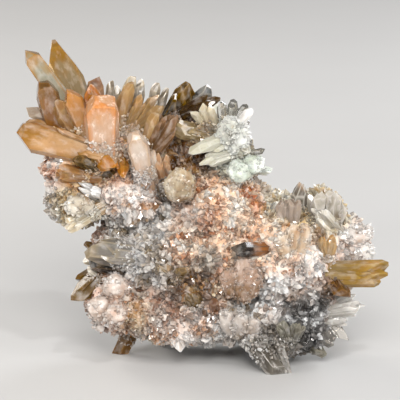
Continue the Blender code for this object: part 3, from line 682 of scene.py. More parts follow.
def faceted(form, width, thick, length, apex, sunk, rng, outline=()):
    """A crystal in mm with its root at 0: a prism cut to its end, with chamfered edges."""
    root_share, steps = FORMS[form]
    edges, depth = section(width, thick, outline)
    shoulder = max(steps[0][0] * length * SHOULDER_LOW, SHORTEST_SHOULDER)
    widening = (1 - root_share) * (length + sunk) / (shoulder + sunk)
    end_share = min(root_share + widening, WIDEST)
    bm = prism(edges, width, depth, ((-sunk, root_share), (length, end_share)))
    if outline:
        planes = outline_planes(outline, width, thick, length)
    else:
        planes = end_planes(form, width, thick, length, apex, rng)
    for place, normal in planes:
        cut_away(bm, place, normal.normalized())
    offset = min(max(CHAMFER * width, CHAMFER_LIMITS[0]), CHAMFER_LIMITS[1])
    bmesh.ops.bevel(bm, geom=bm.edges[:], offset=offset, segments=1, profile=0.5,
                    affect="EDGES", clamp_overlap=True)
    return arrays(bm, LARGE_FACE * width * thick)


def crystal_frame(crystal):
    """Axes of a crystal: z along it, x across it as the viewer sees it, turned by its twist."""
    along = (crystal.tip - crystal.root).normalized()
    across = along.cross(TO_VIEWER)
    if across.length < END_ON:
        across = along.cross(Vector((0.0, 0.0, 1.0)))
    across.normalize()
    across = Matrix.Rotation(crystal.twist, 3, along) @ across
    thick = along.cross(across).normalized()
    frame = Matrix((across, thick, along)).transposed().to_4x4()
    frame.translation = crystal.root
    return frame


def placed(points, frame):
    """World places in metres of points that are in mm in a crystal's frame."""
    frame = np.array(frame)
    return points * MM @ frame[:3, :3].T + frame[:3, 3]


# A large crystal is a bundle of parallel ones: how many for each mm of its width, their shares of
# its width, thickness and length, how far they stand out of its sides and edges, and how much
# lower the outer ones are.
PARALLEL_PER_MM = 0.5
PARALLEL_WIDTH = (0.3, 0.8)
PARALLEL_DEPTH = (0.4, 0.8)
PARALLEL_LENGTH = (0.4, 0.93)
PARALLEL_OUT = (1.0, 1.35)
STANDS_PROUD = 1.04
OUTER_LOWER = 0.25
# How far an apex lies off the middle as a share of the width, how much shades differ, where in
# the noise a crystal lies in mm, and how much deeper the colours of each kind are.
APEX_DRIFT = 0.15
LIKENESS = 0.06
NOISE_PLACES = (0, 100)
DEEPER = {"milky": 1.1, "hazy": 1.2, "glass": 1.0}
# The ends of the largest crystals as the viewer sees them, as points round the end from left to
# right: the share of the width to the right of the middle, and the share of the length.
ENDS = {
    "pale_blade": ((-0.50, 0.35), (-0.38, 0.90), (-0.04, 1.0), (0.40, 0.905), (0.50, 0.35)),
    "tall_spear": ((-0.50, 0.80), (-0.07, 1.0), (0.05, 0.992), (0.38, 0.73), (0.50, 0.60)),
    "brown_stub": ((-0.50, 0.80), (-0.22, 1.0), (0.20, 0.975), (0.50, 0.82)),
    "amber_blade": ((-0.50, 0.74), (-0.06, 1.0), (0.50, 0.78)),
    "peach_giant": ((-0.50, 0.66), (-0.40, 0.81), (-0.14, 1.0), (0.39, 0.905), (0.50, 0.72)),
    "golden_left": ((-0.50, 0.79), (0.0, 1.0), (0.35, 0.955), (0.50, 0.85)),
    "white_lozenge": ((-0.50, 0.62), (-0.36, 0.86), (-0.08, 1.0), (0.20, 0.97), (0.50, 0.66)),
}


def add_crystal(batch, crystal):
    """A large crystal: one prism and thinner parallel ones that stand out of its sides. The feet,
    which are stubs, have none and aren't sunk."""
    rng = random.Random(crystal.name)
    frame = crystal_frame(crystal)
    look = LOOKS[crystal.look]
    length = (crystal.tip - crystal.root).length / MM
    width, thick = crystal.width, crystal.width * crystal.flat
    outline = ENDS.get(crystal.name, ())
    stub = crystal.form == "stub"
    bundle = [(0.0, 0.0, width, thick, length, rng.uniform(-APEX_DRIFT, APEX_DRIFT) * width)]
    for _ in range(0 if outline or stub else round(width * PARALLEL_PER_MM)):
        share = rng.uniform(*PARALLEL_WIDTH)
        deep = thick * rng.uniform(*PARALLEL_DEPTH)
        x = rng.uniform(-1, 1) * (1 - share) * width / 2 * STANDS_PROUD
        y = rng.choice((-1, 1)) * (thick - deep) / 2 * rng.uniform(*PARALLEL_OUT)
        reach = rng.uniform(*PARALLEL_LENGTH) - OUTER_LOWER * abs(x) / width
        bundle.append((x, y, share * width, deep, length * reach, 0.0))
    shade = 1 + rng.uniform(-LIKENESS, LIKENESS)
    tints = [np.clip(linear(code) ** DEEPER[look.kind] * shade, 0, 1) for code in look[2:]]
    offset = np.array([rng.uniform(*NOISE_PLACES) for _ in range(3)])
    for x, y, wide, deep, long, end in bundle:
        points, loops, totals, rim = faceted(
            crystal.form, wide, deep, long, end, 0.0 if stub else SUNK, rng, outline,
        )
        points = points + np.array((x, y, 0.0))
        batch.add(look.kind, placed(points, frame), loops, totals, points + offset,
                  points[:, 2] / length, rim, tints)


# The slender crystals that lean away from a large one: how many for each mm of its width, their
# shares of its width and length, how far off they start, and how far they lean and turn.
BESIDE_PER_MM = 0.25
BESIDE_WIDTH = (0.2, 0.42)
BESIDE_FLATNESS = (0.6, 0.9)
BESIDE_LENGTH = (0.25, 0.7)
BESIDE_OFFSET = 0.40
BESIDE_LEAN = 0.22
BESIDE_LEANING = (0.2, 1.0)
BESIDE_TWIST = 0.5
BESIDE_FORMS = ("chisel", "spear", "lath", "blunt")


def add_beside(batch, crystal):
    """Slender crystals that grow from the root of a large one, leaning away from it."""
    rng = random.Random("beside " + crystal.name)
    turn = crystal_frame(crystal).to_3x3()
    whole = crystal.tip - crystal.root
    for number in range(round(crystal.width * BESIDE_PER_MM)):
        angle = rng.uniform(0, 2 * math.pi)
        out = turn @ Vector((math.cos(angle), math.sin(angle) * crystal.flat, 0.0))
        start = crystal.root + out * crystal.width * MM * BESIDE_OFFSET
        way = whole.normalized() + out * rng.uniform(*BESIDE_LEANING) * BESIDE_LEAN
        end = start + way.normalized() * whole.length * rng.uniform(*BESIDE_LENGTH)
        add_crystal(batch, crystal._replace(
            name=f"{crystal.name} {number}", root=start, tip=end,
            width=crystal.width * rng.uniform(*BESIDE_WIDTH),
            flat=rng.uniform(*BESIDE_FLATNESS), form=rng.choice(BESIDE_FORMS),
            twist=rng.uniform(-BESIDE_TWIST, BESIDE_TWIST),
        ))


# The blades of a fan: how their width and flatness vary, the depth of a layer in blades, how far
# roots draw together, how much shorter the outer blades are, and how far they stray and turn.
BLADE_WIDTHS = (1.2, 1.9)
BLADE_FLATNESS = (0.5, 0.9)
BLADE_FORMS = ("chisel", "chisel", "lath", "spear")
LAYER_DEPTH = 1.3
ROOTS_TOGETHER = 0.65
OUTER_SHORTER = 0.16
BLADE_UNEVEN = 0.16
BLADE_SHIFT = 0.1
BLADE_TWIST = 0.4
FAN_STRAY = 0.055


def add_fan(batch, crystal):
    """Thin blades side by side that spread from one root."""
    rng = random.Random("fan " + crystal.name)
    turn = crystal_frame(crystal).to_3x3()
    whole = crystal.tip - crystal.root
    blade, thick = crystal.size, crystal.width * crystal.flat
    layers = max(1, round(thick / blade / LAYER_DEPTH))
    count = max(2, round(crystal.width / blade) + 1)
    for layer in range(layers):
        deep = ((layer + 0.5) / layers - 0.5) * crystal.width * crystal.flat
        for number in range(count):
            side = (number + 0.5) / count * 2 - 1 + rng.uniform(-BLADE_SHIFT, BLADE_SHIFT)
            out = turn @ Vector((side * (crystal.width - blade) / 2, deep, 0.0)) * MM
            reach = 1 - OUTER_SHORTER * side * side - rng.uniform(0, BLADE_UNEVEN)
            stray = turn @ Vector((rng.uniform(-1, 1), rng.uniform(-1, 1), 0.0))
            end = crystal.root + out + whole * reach + stray * FAN_STRAY * whole.length
            add_crystal(batch, crystal._replace(
                name=f"{crystal.name} {layer} {number}",
                root=crystal.root + out * ROOTS_TOGETHER, tip=end,
                width=blade * rng.uniform(*BLADE_WIDTHS),
                flat=rng.uniform(*BLADE_FLATNESS), form=rng.choice(BLADE_FORMS),
                twist=rng.uniform(-BLADE_TWIST, BLADE_TWIST),
            ))


# A knob is a ball, this fine and this much longer than its crystal, round this share of the
# crystal's length. Flat facets cut it, this many at this share of its radius, and noise roughens
# it, as (size as a share of the radius, height).
KNOB_FINENESS = 4
KNOB_LENGTH = 1.1
KNOB_MIDDLE = 0.47
KNOB_FACETS = 34
KNOB_DEPTHS = (0.84, 1.02)
KNOB_STEEP = 0.05
KNOB_WIDEST = 1.15
KNOB_ROUGH = ((0.75, 0.12), (0.16, 0.018))
KNOB_SOFT = 0.65
# How far a knob's colours are painted darker toward its root and paler toward its end, as painted
# shade at its base, and how light it is. Then its small crystals: how far they lean, how their
# length varies, their share of width, and the shares of the kinds.
KNOB_PAINTED_SHADE = 0.6
KNOB_TONE = 0.88
KNOB_LEAN = 0.4
KNOB_LENGTHS = (0.7, 1.3)
KNOB_WIDTHS = (0.6, 1.05)
KNOB_KINDS = (0.0, 0.4, 0.6)


def knob_radius(outward, rng, start):
    """How far a knob reaches in these directions, as a share of its usual radius."""
    facets = unit(rng.normal(size=(KNOB_FACETS, 3)))
    facing = np.clip(outward @ facets.T, KNOB_STEEP, None)
    radius = (rng.uniform(*KNOB_DEPTHS, KNOB_FACETS) / facing).min(1)
    radius = 1 + (np.clip(radius, 0, KNOB_WIDEST) - 1) * KNOB_SOFT
    for size, height in KNOB_ROUGH:
        radius += height * np.array([noise.noise(Vector(p) / size + start) for p in outward])
    return radius[:, None]


def add_knob(batch, grains, crystal):
    """A rounded mass with rough facets and small crystals on it."""
    rng = np.random.default_rng(list(crystal.name.encode()))
    frame = crystal_frame(crystal)
    length = (crystal.tip - crystal.root).length / MM
    half = np.array((crystal.width, crystal.width * crystal.flat, length * KNOB_LENGTH)) / 2
    centre = np.array((0.0, 0.0, length * KNOB_MIDDLE))
    count = round(crystal.width * length * crystal.cover / crystal.size)
    bm = bmesh.new()
    bmesh.ops.create_icosphere(bm, subdivisions=KNOB_FINENESS, radius=1.0)
    ball, loops, totals, _ = arrays(bm, math.inf)
    own = len(ball)
    outward = np.concatenate((unit(ball), unit(rng.normal(size=(count, 3)))))
    local = outward * knob_radius(outward, rng, crystal.root / MM) * half + centre
    share = local[:, 2] / length
    # Painted shade: colours step toward the dark end of the ramp at the root and the pale end at
    # the tip.
    painted_shade_and_jitter = KNOB_PAINTED_SHADE * (share - 0.5)
    ways = unit(unit(outward[own:] / half) + rng.normal(size=(count, 3)) * KNOB_LEAN)
    lengths = crystal.size * rng.uniform(*KNOB_LENGTHS, count)
    widths = lengths * rng.uniform(*KNOB_WIDTHS, count)
    painted_shade_and_jitter[own:] += rng.normal(size=count) * TINT_JITTER
    kinds = rng.choice(len(KNOB_KINDS), count, p=KNOB_KINDS)
    world = placed(local, frame)
    ramp = np.array([linear(code) for code in LOOKS[crystal.look][2:]]) * KNOB_TONE
    tints = ramp_tints(np.repeat(ramp[None], len(world), 0), blotches(world) + painted_shade_and_jitter)
    batch.add("milky", world[:own], loops, totals, local[:own], share[:own], 0.0,
              [tints[:own]] * len(COLOURS))
    ways = ways @ np.array(frame.to_3x3()).T
    grains.add(world[own:], ways, lengths, widths, tints[own:], kinds)


def family_batch(family, grains):
    """The large crystals of one family."""
    batch = Batch()
    for crystal in family:
        if crystal.build == "knob":
            add_knob(batch, grains, crystal)
        elif crystal.build == "fan":
            add_fan(batch, crystal)
        else:
            add_crystal(batch, crystal)
            add_beside(batch, crystal)
    return batch


GROUP_JITTER = 0.3
GROUP_LENGTHS = (0.78, 1.0)
GROUP_WIDTHS = (0.7, 1.0)
GROUP_FLATNESS = (0.6, 0.9)
GROUP_FORMS = ("spear", "chisel", "blunt", "lath")
GOLDEN_ANGLE = math.pi * (3.0 - math.sqrt(5.0))


def group_crystals(group):
    """A spray of crystals that lean round one direction."""
    rng = random.Random(int(group.seed))
    lean = Vector(group.lean).normalized()
    side = lean.orthogonal().normalized()
    other = lean.cross(side)
    root = plain(*group.centre)
    made = []
    for number in range(int(group.count)):
        angle = number * GOLDEN_ANGLE + rng.uniform(-GROUP_JITTER, GROUP_JITTER)
        tilt = group.spread * math.sqrt((number + 0.5) / group.count)
        way = (lean + (side * math.cos(angle) + other * math.sin(angle)) * tilt).normalized()
        length = group.length * rng.uniform(*GROUP_LENGTHS)
        width = group.width * rng.uniform(*GROUP_WIDTHS)
        form = rng.choice(GROUP_FORMS)
        made.append(Crystal(
            f"{group.name}_{number}", root, root + way * length * MM, width,
            rng.uniform(*GROUP_FLATNESS), form, group.looks[number % len(group.looks)],
            twist=rng.uniform(0, math.pi),
        ))
    return made


FOOT_TWIST = 0.5
FEET_CUT = 0.00001


def feet_piece(feet, materials):
    """The feet, cut flat where they stand."""
    batch = Batch()
    for foot in feet:
        add_crystal(batch, foot)
    piece = batch.piece("feet", materials)
    bm = bmesh.new()
    bm.from_mesh(piece.data)
    cut_away(bm, (0, 0, FEET_CUT), (0, 0, -1))
    bm.to_mesh(piece.data)
    bm.free()
    return piece


# The crust: how far the points of the lumps stand in and out, the cells of its first and last
# shape in mm, and its bumps as (spread, height, share of the height that stands in).
LUMP_ROUGHNESS = 0.06
COARSE_CELL = 1.5
FINE_CELL = 0.85
BUMPS = ((5.0, 3.2, 0.4), (1.9, 1.3, 0.45))


def lumps_object(name, lumps):
    """Faceted rounded masses whose points stand in and out a little."""
    bm = bmesh.new()
    for lump in lumps:
        rng = random.Random(lump.name)
        half = Vector((lump.rx, lump.ry, lump.rz)) * MM
        centre = seen(lump.x, lump.seen, lump.back)
        made = bmesh.ops.create_icosphere(bm, subdivisions=int(lump.fine), radius=1.0)["verts"]
        for vert in made:
            swell = 1.0 + rng.uniform(-LUMP_ROUGHNESS, LUMP_ROUGHNESS)
            vert.co = centre + Vector(a * b for a, b in zip(vert.co, half)) * swell
    mesh = bpy.data.meshes.new(name)
    bm.to_mesh(mesh)
    bm.free()
    return linked(name, mesh)


def crust_mesh():
    """The skin of the massive body: the lumps run together, hollowed and roughened."""
    body = lumps_object("crust_form", LUMPS)
    hollows = [lumps_object(hollow.name, [hollow]) for hollow in HOLLOWS]

    def modify(kind, **settings):
        configured(body.modifiers.new(kind, kind), settings)

    modify("REMESH", mode="VOXEL", voxel_size=COARSE_CELL * MM)
    for hollow in hollows:
        modify("BOOLEAN", operation="DIFFERENCE", object=hollow)
    modify("REMESH", mode="VOXEL", voxel_size=FINE_CELL * MM)
    for spread, height, share in BUMPS:
        grain = bpy.data.textures.new("bumps", "VORONOI")
        grain.noise_scale = spread * MM
        modify("DISPLACE", texture=grain, strength=-height * MM, mid_level=share)
    graph = bpy.context.evaluated_depsgraph_get()
    mesh = bpy.data.meshes.new_from_object(body.evaluated_get(graph))
    for helper in [body] + hollows:
        bpy.data.objects.remove(helper)
    return mesh


def mesh_arrays(mesh):
    """The points and triangle corners of a mesh, and normals twice as long as the area."""
    mesh.calc_loop_triangles()
    points = np.empty(len(mesh.vertices) * 3)
    mesh.vertices.foreach_get("co", points)
    corners = np.empty(len(mesh.loop_triangles) * 3, np.int32)
    mesh.loop_triangles.foreach_get("vertices", corners)
    points, corners = points.reshape(-1, 3), corners.reshape(-1, 3)
    a, b, c = (points[corners[:, i]] for i in range(3))
    return points, corners, np.cross(b - a, c - a)


# What the zones hold, in the order of ZONES, and how light their colours are made.
GRAIN_TONE = 0.95
ZONE_PALETTES = [PALETTES[zone.palette] for zone in ZONES]
ZONE_CENTRES = np.array([seen(zone.x, zone.seen, zone.back) for zone in ZONES])
ZONE_REACH = np.array([zone.reach for zone in ZONES]) * MM
ZONE_LENGTH = np.array([zone.length for zone in ZONES])
ZONE_CLEAR = np.array([palette.clear for palette in ZONE_PALETTES])
ZONE_CRUST = np.array([linear(palette.crust) for palette in ZONE_PALETTES]) * GRAIN_TONE
ZONE_RAMPS = np.array([[linear(c) for c in palette[2:6]] for palette in ZONE_PALETTES]) * GRAIN_TONE
# How fast a zone fades with distance, and what is left of it far away.
FADE = 2
FAR_AWAY = 1e-6
# Where the four colours of a ramp lie, its usual step and its last one, the sizes in mm and the
# strengths of its blotches, and how much each crystal strays from them.
RAMP_STEPS = (0.0, 0.36, 0.66, 1.0)
RAMP_MIDDLE = 0.44
RAMP_END = 0.9999
BLOTCHES = ((6.0, 0.50), (2.4, 0.45), (1.0, 0.30))
TINT_JITTER = 0.08
# The crust: how far it lies off the middle of its ramp, and the share of its own colour.
CRUST_SHIFT = -0.05
CRUST_BLEND = 0.5


def zone_shares(places):
    """How much each place belongs to each zone."""
    gaps = places[:, None, :] - ZONE_CENTRES[None]
    near = np.exp(-FADE * (gaps**2).sum(2) / ZONE_REACH**2) + FAR_AWAY
    return near / near.sum(1, keepdims=True)


def picked_zones(places, rng):
    """One zone for each place, chosen at random by its share."""
    shares = zone_shares(places).cumsum(1)
    return (shares < rng.random(len(places))[:, None]).sum(1).clip(0, len(ZONES) - 1)


def blotches(places):
    """Where each place lies on its ramp of colours, from stained to white."""
    found = np.full(len(places), RAMP_MIDDLE)
    for size, strength in BLOTCHES:
        found += strength * np.array([noise.noise(Vector(p)) for p in places / (size * MM)])
    return found


def ramp_tints(ramps, steps):
    """The colour of each ramp, (n, 4, 3), at its step from 0 to 1."""
    steps = np.clip(steps, 0, RAMP_END)
    low = np.searchsorted(RAMP_STEPS, steps, side="right") - 1
    marks = np.array(RAMP_STEPS)
    share = (steps - marks[low]) / (marks[low + 1] - marks[low])
    each = np.arange(len(ramps))
    return mixed(ramps[each, low], ramps[each, low + 1], share)


def zone_tints(places, shift):
    """The colours that crystals have at these places."""
    ramps = np.einsum("nz,zck->nck", zone_shares(places), ZONE_RAMPS)
    return ramp_tints(ramps, blotches(places) + shift)


def zone_kinds(zones, rng, sprays=None):
    """The kinds of the crystals in these zones. Most crystals of a spray are alike."""
    clear, frosted = rng.random(len(zones)), rng.random(len(zones))
    if sprays is not None:
        alike = rng.random(len(zones)) < SPRAY_LIKE
        clear = np.where(alike, rng.random(sprays.max() + 1)[sprays], clear)
        frosted = np.where(alike, rng.random(sprays.max() + 1)[sprays], frosted)
    return np.where(clear < ZONE_CLEAR[zones], 0, np.where(frosted < BRIGHT_SHARE, 1, 2))


def crust_piece(mesh, materials):
    """The crust with its colours, as one piece."""
    points, corners, _ = mesh_arrays(mesh)
    tints = mixed(zone_tints(points, CRUST_SHIFT), zone_shares(points) @ ZONE_CRUST, CRUST_BLEND)
    batch = Batch()
    batch.add("crust", points, corners.ravel(), np.full(len(corners), 3), points / MM, 0.5, 0.5,
              [tints] * len(COLOURS))
    return batch.piece("crust", materials)


# The small crystals over the crust: how many there are, and how many of them start a spray. Then
# how wide a spray opens, how far it reaches in mm and leans, how much larger its middle is, how
# sprays vary in size, the share of crystals that are of their kind, and how sprays vary in colour.
GRAIN_COUNT = 21000
SPRAY_COUNT = 2200
SPRAY_SPREAD = 0.5
SPRAY_REACH = 2.2
SPRAY_LEAN = 0.25
SPRAY_DOME = (1.2, 0.35)
SPRAY_VARIETY = 0.25
SPRAY_LIKE = 0.6
SPRAY_JITTER = 0.16
# How far each one leans by itself, how steep it has to stand, how sizes vary, how large they are,
# the share of width, and the limits of lengths and widths in mm.
GRAIN_LEAN = 0.20
STEEPEST = 0.3
STEEPENED = 1.5
GRAIN_VARIETY = 0.28
GRAIN_SCALE = 1.18
GRAIN_WIDTHS = (0.45, 0.90)
GRAIN_LENGTHS = (0.9, 4.2)
GRAIN_LIMITS = (0.5, 2.4)
# How deep a small crystal is sunk as a share of its length, the factors on its colour at its root,
# middle, tip and edges: darker at the root as painted shade between the crystals, lighter at the
# tip and edges as painted light and painted highlight. Then the share of those that aren't clear
# that are bright. A tip may lie this far past the box of the part, and has to lie this far above
# the floor, in mm.
GRAIN_SUNK = 0.42
GRAIN_PAINTED_SHADE_AND_LIGHT = (0.6, 0.8, 1.15, 1.2)
BRIGHT_SHARE = 0.5
EDGE_OF_BOX = 0.6
FLOOR_GAP = 0.3
# The middle crystals over the crust, in the same terms.
MEDIUM_COUNT = 520
MEDIUM_LEAN = 0.42
MEDIUM_SHIFT = 0.1
MEDIUM_LENGTHS = (2.2, 4.0)
MEDIUM_WIDTHS = (0.5, 0.85)
MEDIUM_DRIFT = 0.12
MEDIUM_FORMS = (
    ("chisel", 0.8), ("blunt", 0.9), ("spear", 0.8), ("lath", 0.55), ("blunt", 0.6),
    ("chisel", 0.5), ("point", 0.9), ("chisel", 0.95),
)
# The forms of the small crystals: how many, their sides and how uneven these are, the thickness,
# the width of the root, and the cuts at their ends.
SMALL_FORMS = 14
SMALL_SIDES = (3, 4, 4)
SMALL_UNEVEN = 0.25
SMALL_THICKNESS = (0.55, 1.0)
SMALL_ROOT = (0.75, 1.0)
SMALL_CUTS = (2, 2, 3)
SMALL_TURN = (90, 200)
SMALL_DROP = (0.0, 0.25)
SMALL_TILT = (20, 62)


def small_form(seed):
    """A crystal one mm long and wide with few faces, to be copied and stretched."""
    rng = random.Random(seed)
    sides = rng.choice(SMALL_SIDES)
    edges = [(k + rng.uniform(-SMALL_UNEVEN, SMALL_UNEVEN)) * 360 / sides for k in range(sides)]
    thick = rng.uniform(*SMALL_THICKNESS)
    bm = prism(edges, 1.0, thick, ((0.0, rng.uniform(*SMALL_ROOT)), (1.0, 1.0)))
    turn = rng.uniform(0, 360)
    for _ in range(rng.choice(SMALL_CUTS)):
        turn += rng.uniform(*SMALL_TURN)
        top = Vector((0, 0, 1 - rng.uniform(*SMALL_DROP)))
        cut_away(bm, top, tilted(turn, rng.uniform(*SMALL_TILT)))
    points, loops, totals, rim = arrays(bm, math.inf)
    return points, loops, totals, rim * 0


def medium_form(form, flat):
    """A crystal one mm long and wide with chamfered edges, to be copied and stretched."""
    rng = random.Random(f"{form} {flat}")
    return faceted(form, 1.0, flat, 1.0, rng.uniform(-MEDIUM_DRIFT, MEDIUM_DRIFT), 0.0, rng)


def frames_along(directions, rng):
    """For each direction, a turn whose z axis lies along it, at a random angle round it."""
    z = unit(directions)
    x = unit(np.cross(rng.normal(size=z.shape), z))
    return np.stack((x, np.cross(z, x), z), 2)


class Grains:
    """Small crystals: where they grow, which way, how large, their colours and their kinds."""

    def __init__(self):
        self.parts = []

    def add(self, places, ways, lengths, widths, tints, kinds):
        self.parts.append((places, ways, lengths * MM, widths * MM, np.clip(tints, 0, 1), kinds))

    def batches(self, low, high, crust, forms, seed):
        """One batch for each kind and each half of the cluster, front and back. Crystals whose
        tips lie in the crust or close to the limits are left out."""
        rng = np.random.default_rng(seed)
        joined = [np.concatenate(part) for part in zip(*self.parts)]
        places, ways, lengths, widths = joined[:4]
        tips = places + ways * lengths[:, None]
        edge = EDGE_OF_BOX * MM
        inside = ((tips > low - edge) & (tips < high + edge)).all(1)
        inside &= (places[:, 2] > widths) & (tips[:, 2] > FLOOR_GAP * MM)
        inside &= stands_out(crust, tips)
        places, ways, lengths, widths, tints, kinds = (part[inside] for part in joined)
        turns = frames_along(ways, rng)
        chosen = rng.integers(0, len(forms), len(places))
        halves = places[:, 1] > 0
        made = {}
        for kind, kind_name in enumerate(KINDS[:3]):
            for half, half_name in enumerate(("front", "back")):
                batch = made[f"{kind_name}_{half_name}"] = Batch()
                for number, form in enumerate(forms):
                    mine = (chosen == number) & (kinds == kind) & (halves == half)
                    if mine.any():
                        parts = (places, turns, lengths, widths, tints)
                        add_copies(batch, kind_name, form, rng, *(part[mine] for part in parts))
        return made


def add_copies(batch, kind, form, rng, places, turns, lengths, widths, tints):
    """Copies one form to all its places, stretched and turned."""
    points, loops, totals, rim = form
    local = points[None] * np.stack((widths, widths, lengths), 1)[:, None, :]
    local[:, :, 2] -= GRAIN_SUNK * lengths[:, None]
    world = np.einsum("nij,nkj->nki", turns, local) + places[:, None]
    many, each = world.shape[:2]
    loops = (loops[None] + (np.arange(many) * each)[:, None]).ravel()
    grown = local / MM + rng.uniform(*NOISE_PLACES, (many, 1, 3))
    tints = np.repeat(tints, each, 0)
    # Painted shade at the roots of the small crystals, painted light at their tips and edges.
    batch.add(
        kind, world.reshape(-1, 3), loops, np.tile(totals, many), grown.reshape(-1, 3),
        np.tile(np.clip(points[:, 2], 0, 1), many), np.tile(rim, many),
        [np.clip(tints * shade, 0, 1) for shade in GRAIN_PAINTED_SHADE_AND_LIGHT],
    )


def stands_out(crust, places):
    """Whether each place lies outside the crust."""
    points, corners, _ = mesh_arrays(crust)
    tree = bvhtree.BVHTree.FromPolygons(points.tolist(), corners.tolist())
    out = np.empty(len(places), bool)
    for number, place in enumerate(places):
        hit, normal, _, _ = tree.find_nearest(place)
        out[number] = (Vector(place) - hit).dot(normal) > 0
    return out


def crust_places(mesh, count, rng):
    """Random places over the crust, with the way out of it at each."""
    points, corners, normals = mesh_arrays(mesh)
    areas = np.linalg.norm(normals, axis=1)
    chosen = rng.choice(len(corners), count, p=areas / areas.sum())
    mix = rng.random((count, 2))
    folded = mix.sum(1) > 1
    mix[folded] = 1 - mix[folded]
    a, b, c = (points[corners[chosen, i]] for i in range(3))
    places = a + (b - a) * mix[:, :1] + (c - a) * mix[:, 1:]
    return places, normals[chosen] / areas[chosen][:, None]


def crust_grains(grains, mesh):
    """Small crystals all over the crust, in little sprays."""
    rng = np.random.default_rng(7)
    places, outward = crust_places(mesh, GRAIN_COUNT, rng)
    tree = kdtree.KDTree(SPRAY_COUNT)
    for number in range(SPRAY_COUNT):
        tree.insert(places[number], number)
    tree.balance()
    nearest = np.array([tree.find(place)[1] for place in places])
    lean = rng.normal(size=(SPRAY_COUNT, 3)) * SPRAY_LEAN
    ways = outward[nearest] + lean[nearest]
    apart = (places - places[nearest]) / (SPRAY_REACH * MM)
    ways += apart * SPRAY_SPREAD
    ways = unit(ways + rng.normal(size=places.shape) * GRAIN_LEAN)
    facing = (ways * outward).sum(1)
    ways = unit(ways + outward * np.clip(STEEPEST - facing, 0, None)[:, None] * STEEPENED)
    zones = picked_zones(places[nearest], rng)
    spray_size = np.exp(rng.normal(size=SPRAY_COUNT) * SPRAY_VARIETY)[nearest]
    spray_size *= SPRAY_DOME[0] - SPRAY_DOME[1] * np.clip((apart**2).sum(1), 0, 1)
    variety = np.exp(rng.normal(size=GRAIN_COUNT) * GRAIN_VARIETY)
    lengths = np.clip(GRAIN_SCALE * ZONE_LENGTH[zones] * variety * spray_size, *GRAIN_LENGTHS)
    widths = np.clip(lengths * rng.uniform(*GRAIN_WIDTHS, GRAIN_COUNT), *GRAIN_LIMITS)
    shift = rng.normal(size=GRAIN_COUNT) * TINT_JITTER
    shift += (rng.normal(size=SPRAY_COUNT) * SPRAY_JITTER)[nearest]
    kinds = zone_kinds(zones, rng, nearest)
    grains.add(places, ways, lengths, widths, zone_tints(places, shift), kinds)


def medium_crystals(grains, mesh):
    """Crystals of a middle size between the small and the large ones."""
    rng = np.random.default_rng(11)
    places, outward = crust_places(mesh, MEDIUM_COUNT, rng)
    ways = unit(outward + rng.normal(size=places.shape) * MEDIUM_LEAN)
    lengths = rng.uniform(*MEDIUM_LENGTHS, MEDIUM_COUNT)
    widths = lengths * rng.uniform(*MEDIUM_WIDTHS, MEDIUM_COUNT)
    tints = zone_tints(places, MEDIUM_SHIFT + rng.normal(size=MEDIUM_COUNT) * TINT_JITTER)
    kinds = zone_kinds(picked_zones(places, rng), rng)
    grains.add(places, ways, lengths, widths, tints, kinds)


# The small crystals on the sides of the large ones: how many for each square mm of width by
# length, how low they keep, how far up they reach, also below a shoulder and on a fan.
GROWN_ON = 2.3
GROWN_LOW = 2.0
GROWN_REACH = 0.55
BELOW_SHOULDER = 0.95
FAN_COVERED = 0.35
# How much they lean out of the side, along the crystal and astray, how long they are in mm, how
# much shorter to the end, how uneven and wide, the shares of the kinds, how much paler they are,
# and how much of their colour is the zone's.
GROWN_LEAN = (0.9, 0.5, 0.4)
GROWN_LENGTH = 1.8
GROWN_TAPER = 0.7
GROWN_VARIETY = 0.3
GROWN_LENGTHS = (0.8, 2.6)
GROWN_WIDTHS = (0.4, 0.75)
GROWN_LIMITS = (0.4, 1.2)
GROWN_KINDS = (0.0, 0.35, 0.65)
GROWN_SHIFT = 0.2
GROWN_BLEND = (0.3, 1.0)


def grown_on(crystal):
    """Where small crystals grow on the sides of a large one: for each its place, the way out of
    the side, the crystal's axis, the share of its length and the crystal's own colour."""
    if crystal.build in ("knob", "bare"):
        return []
    rng = random.Random("grown " + crystal.name)
    turn = crystal_frame(crystal).to_3x3()
    whole = crystal.tip - crystal.root
    axis, length = whole.normalized(), whole.length
    look = LOOKS[crystal.look]
    own = (linear(look.root) + linear(look.middle)) / 2
    root_share, steps = FORMS[crystal.form]
    outline = ENDS.get(crystal.name, ())
    narrows = min((height for _, height in outline), default=steps[0][0]) * BELOW_SHOULDER
    edges, depth = section(crystal.width, crystal.width * crystal.flat, outline)
    corners = [Vector((x, y, 0.0)) for x, y in ring(edges, crystal.width, depth)]
    sides = list(zip(corners, corners[1:] + corners[:1]))
    wide = [(b - a).length for a, b in sides]
    fan = crystal.build == "fan"
    if fan:
        root_share, narrows = ROOTS_TOGETHER, FAN_COVERED
    found = []
    for _ in range(round(crystal.width * length / MM * GROWN_ON)):
        along = rng.random() ** GROWN_LOW * narrows * GROWN_REACH
        grown = (along * length + SUNK * MM) / (narrows * length + SUNK * MM)
        scale = MM * (root_share + (1 - root_share) * (along if fan else grown))
        a, b = rng.choices(sides, wide)[0]
        place = crystal.root + turn @ a.lerp(b, rng.random()) * scale + whole * along
        out = (turn @ Vector((b.y - a.y, a.x - b.x, 0.0))).normalized()
        found.append((place, out, axis, along, own))
    return found


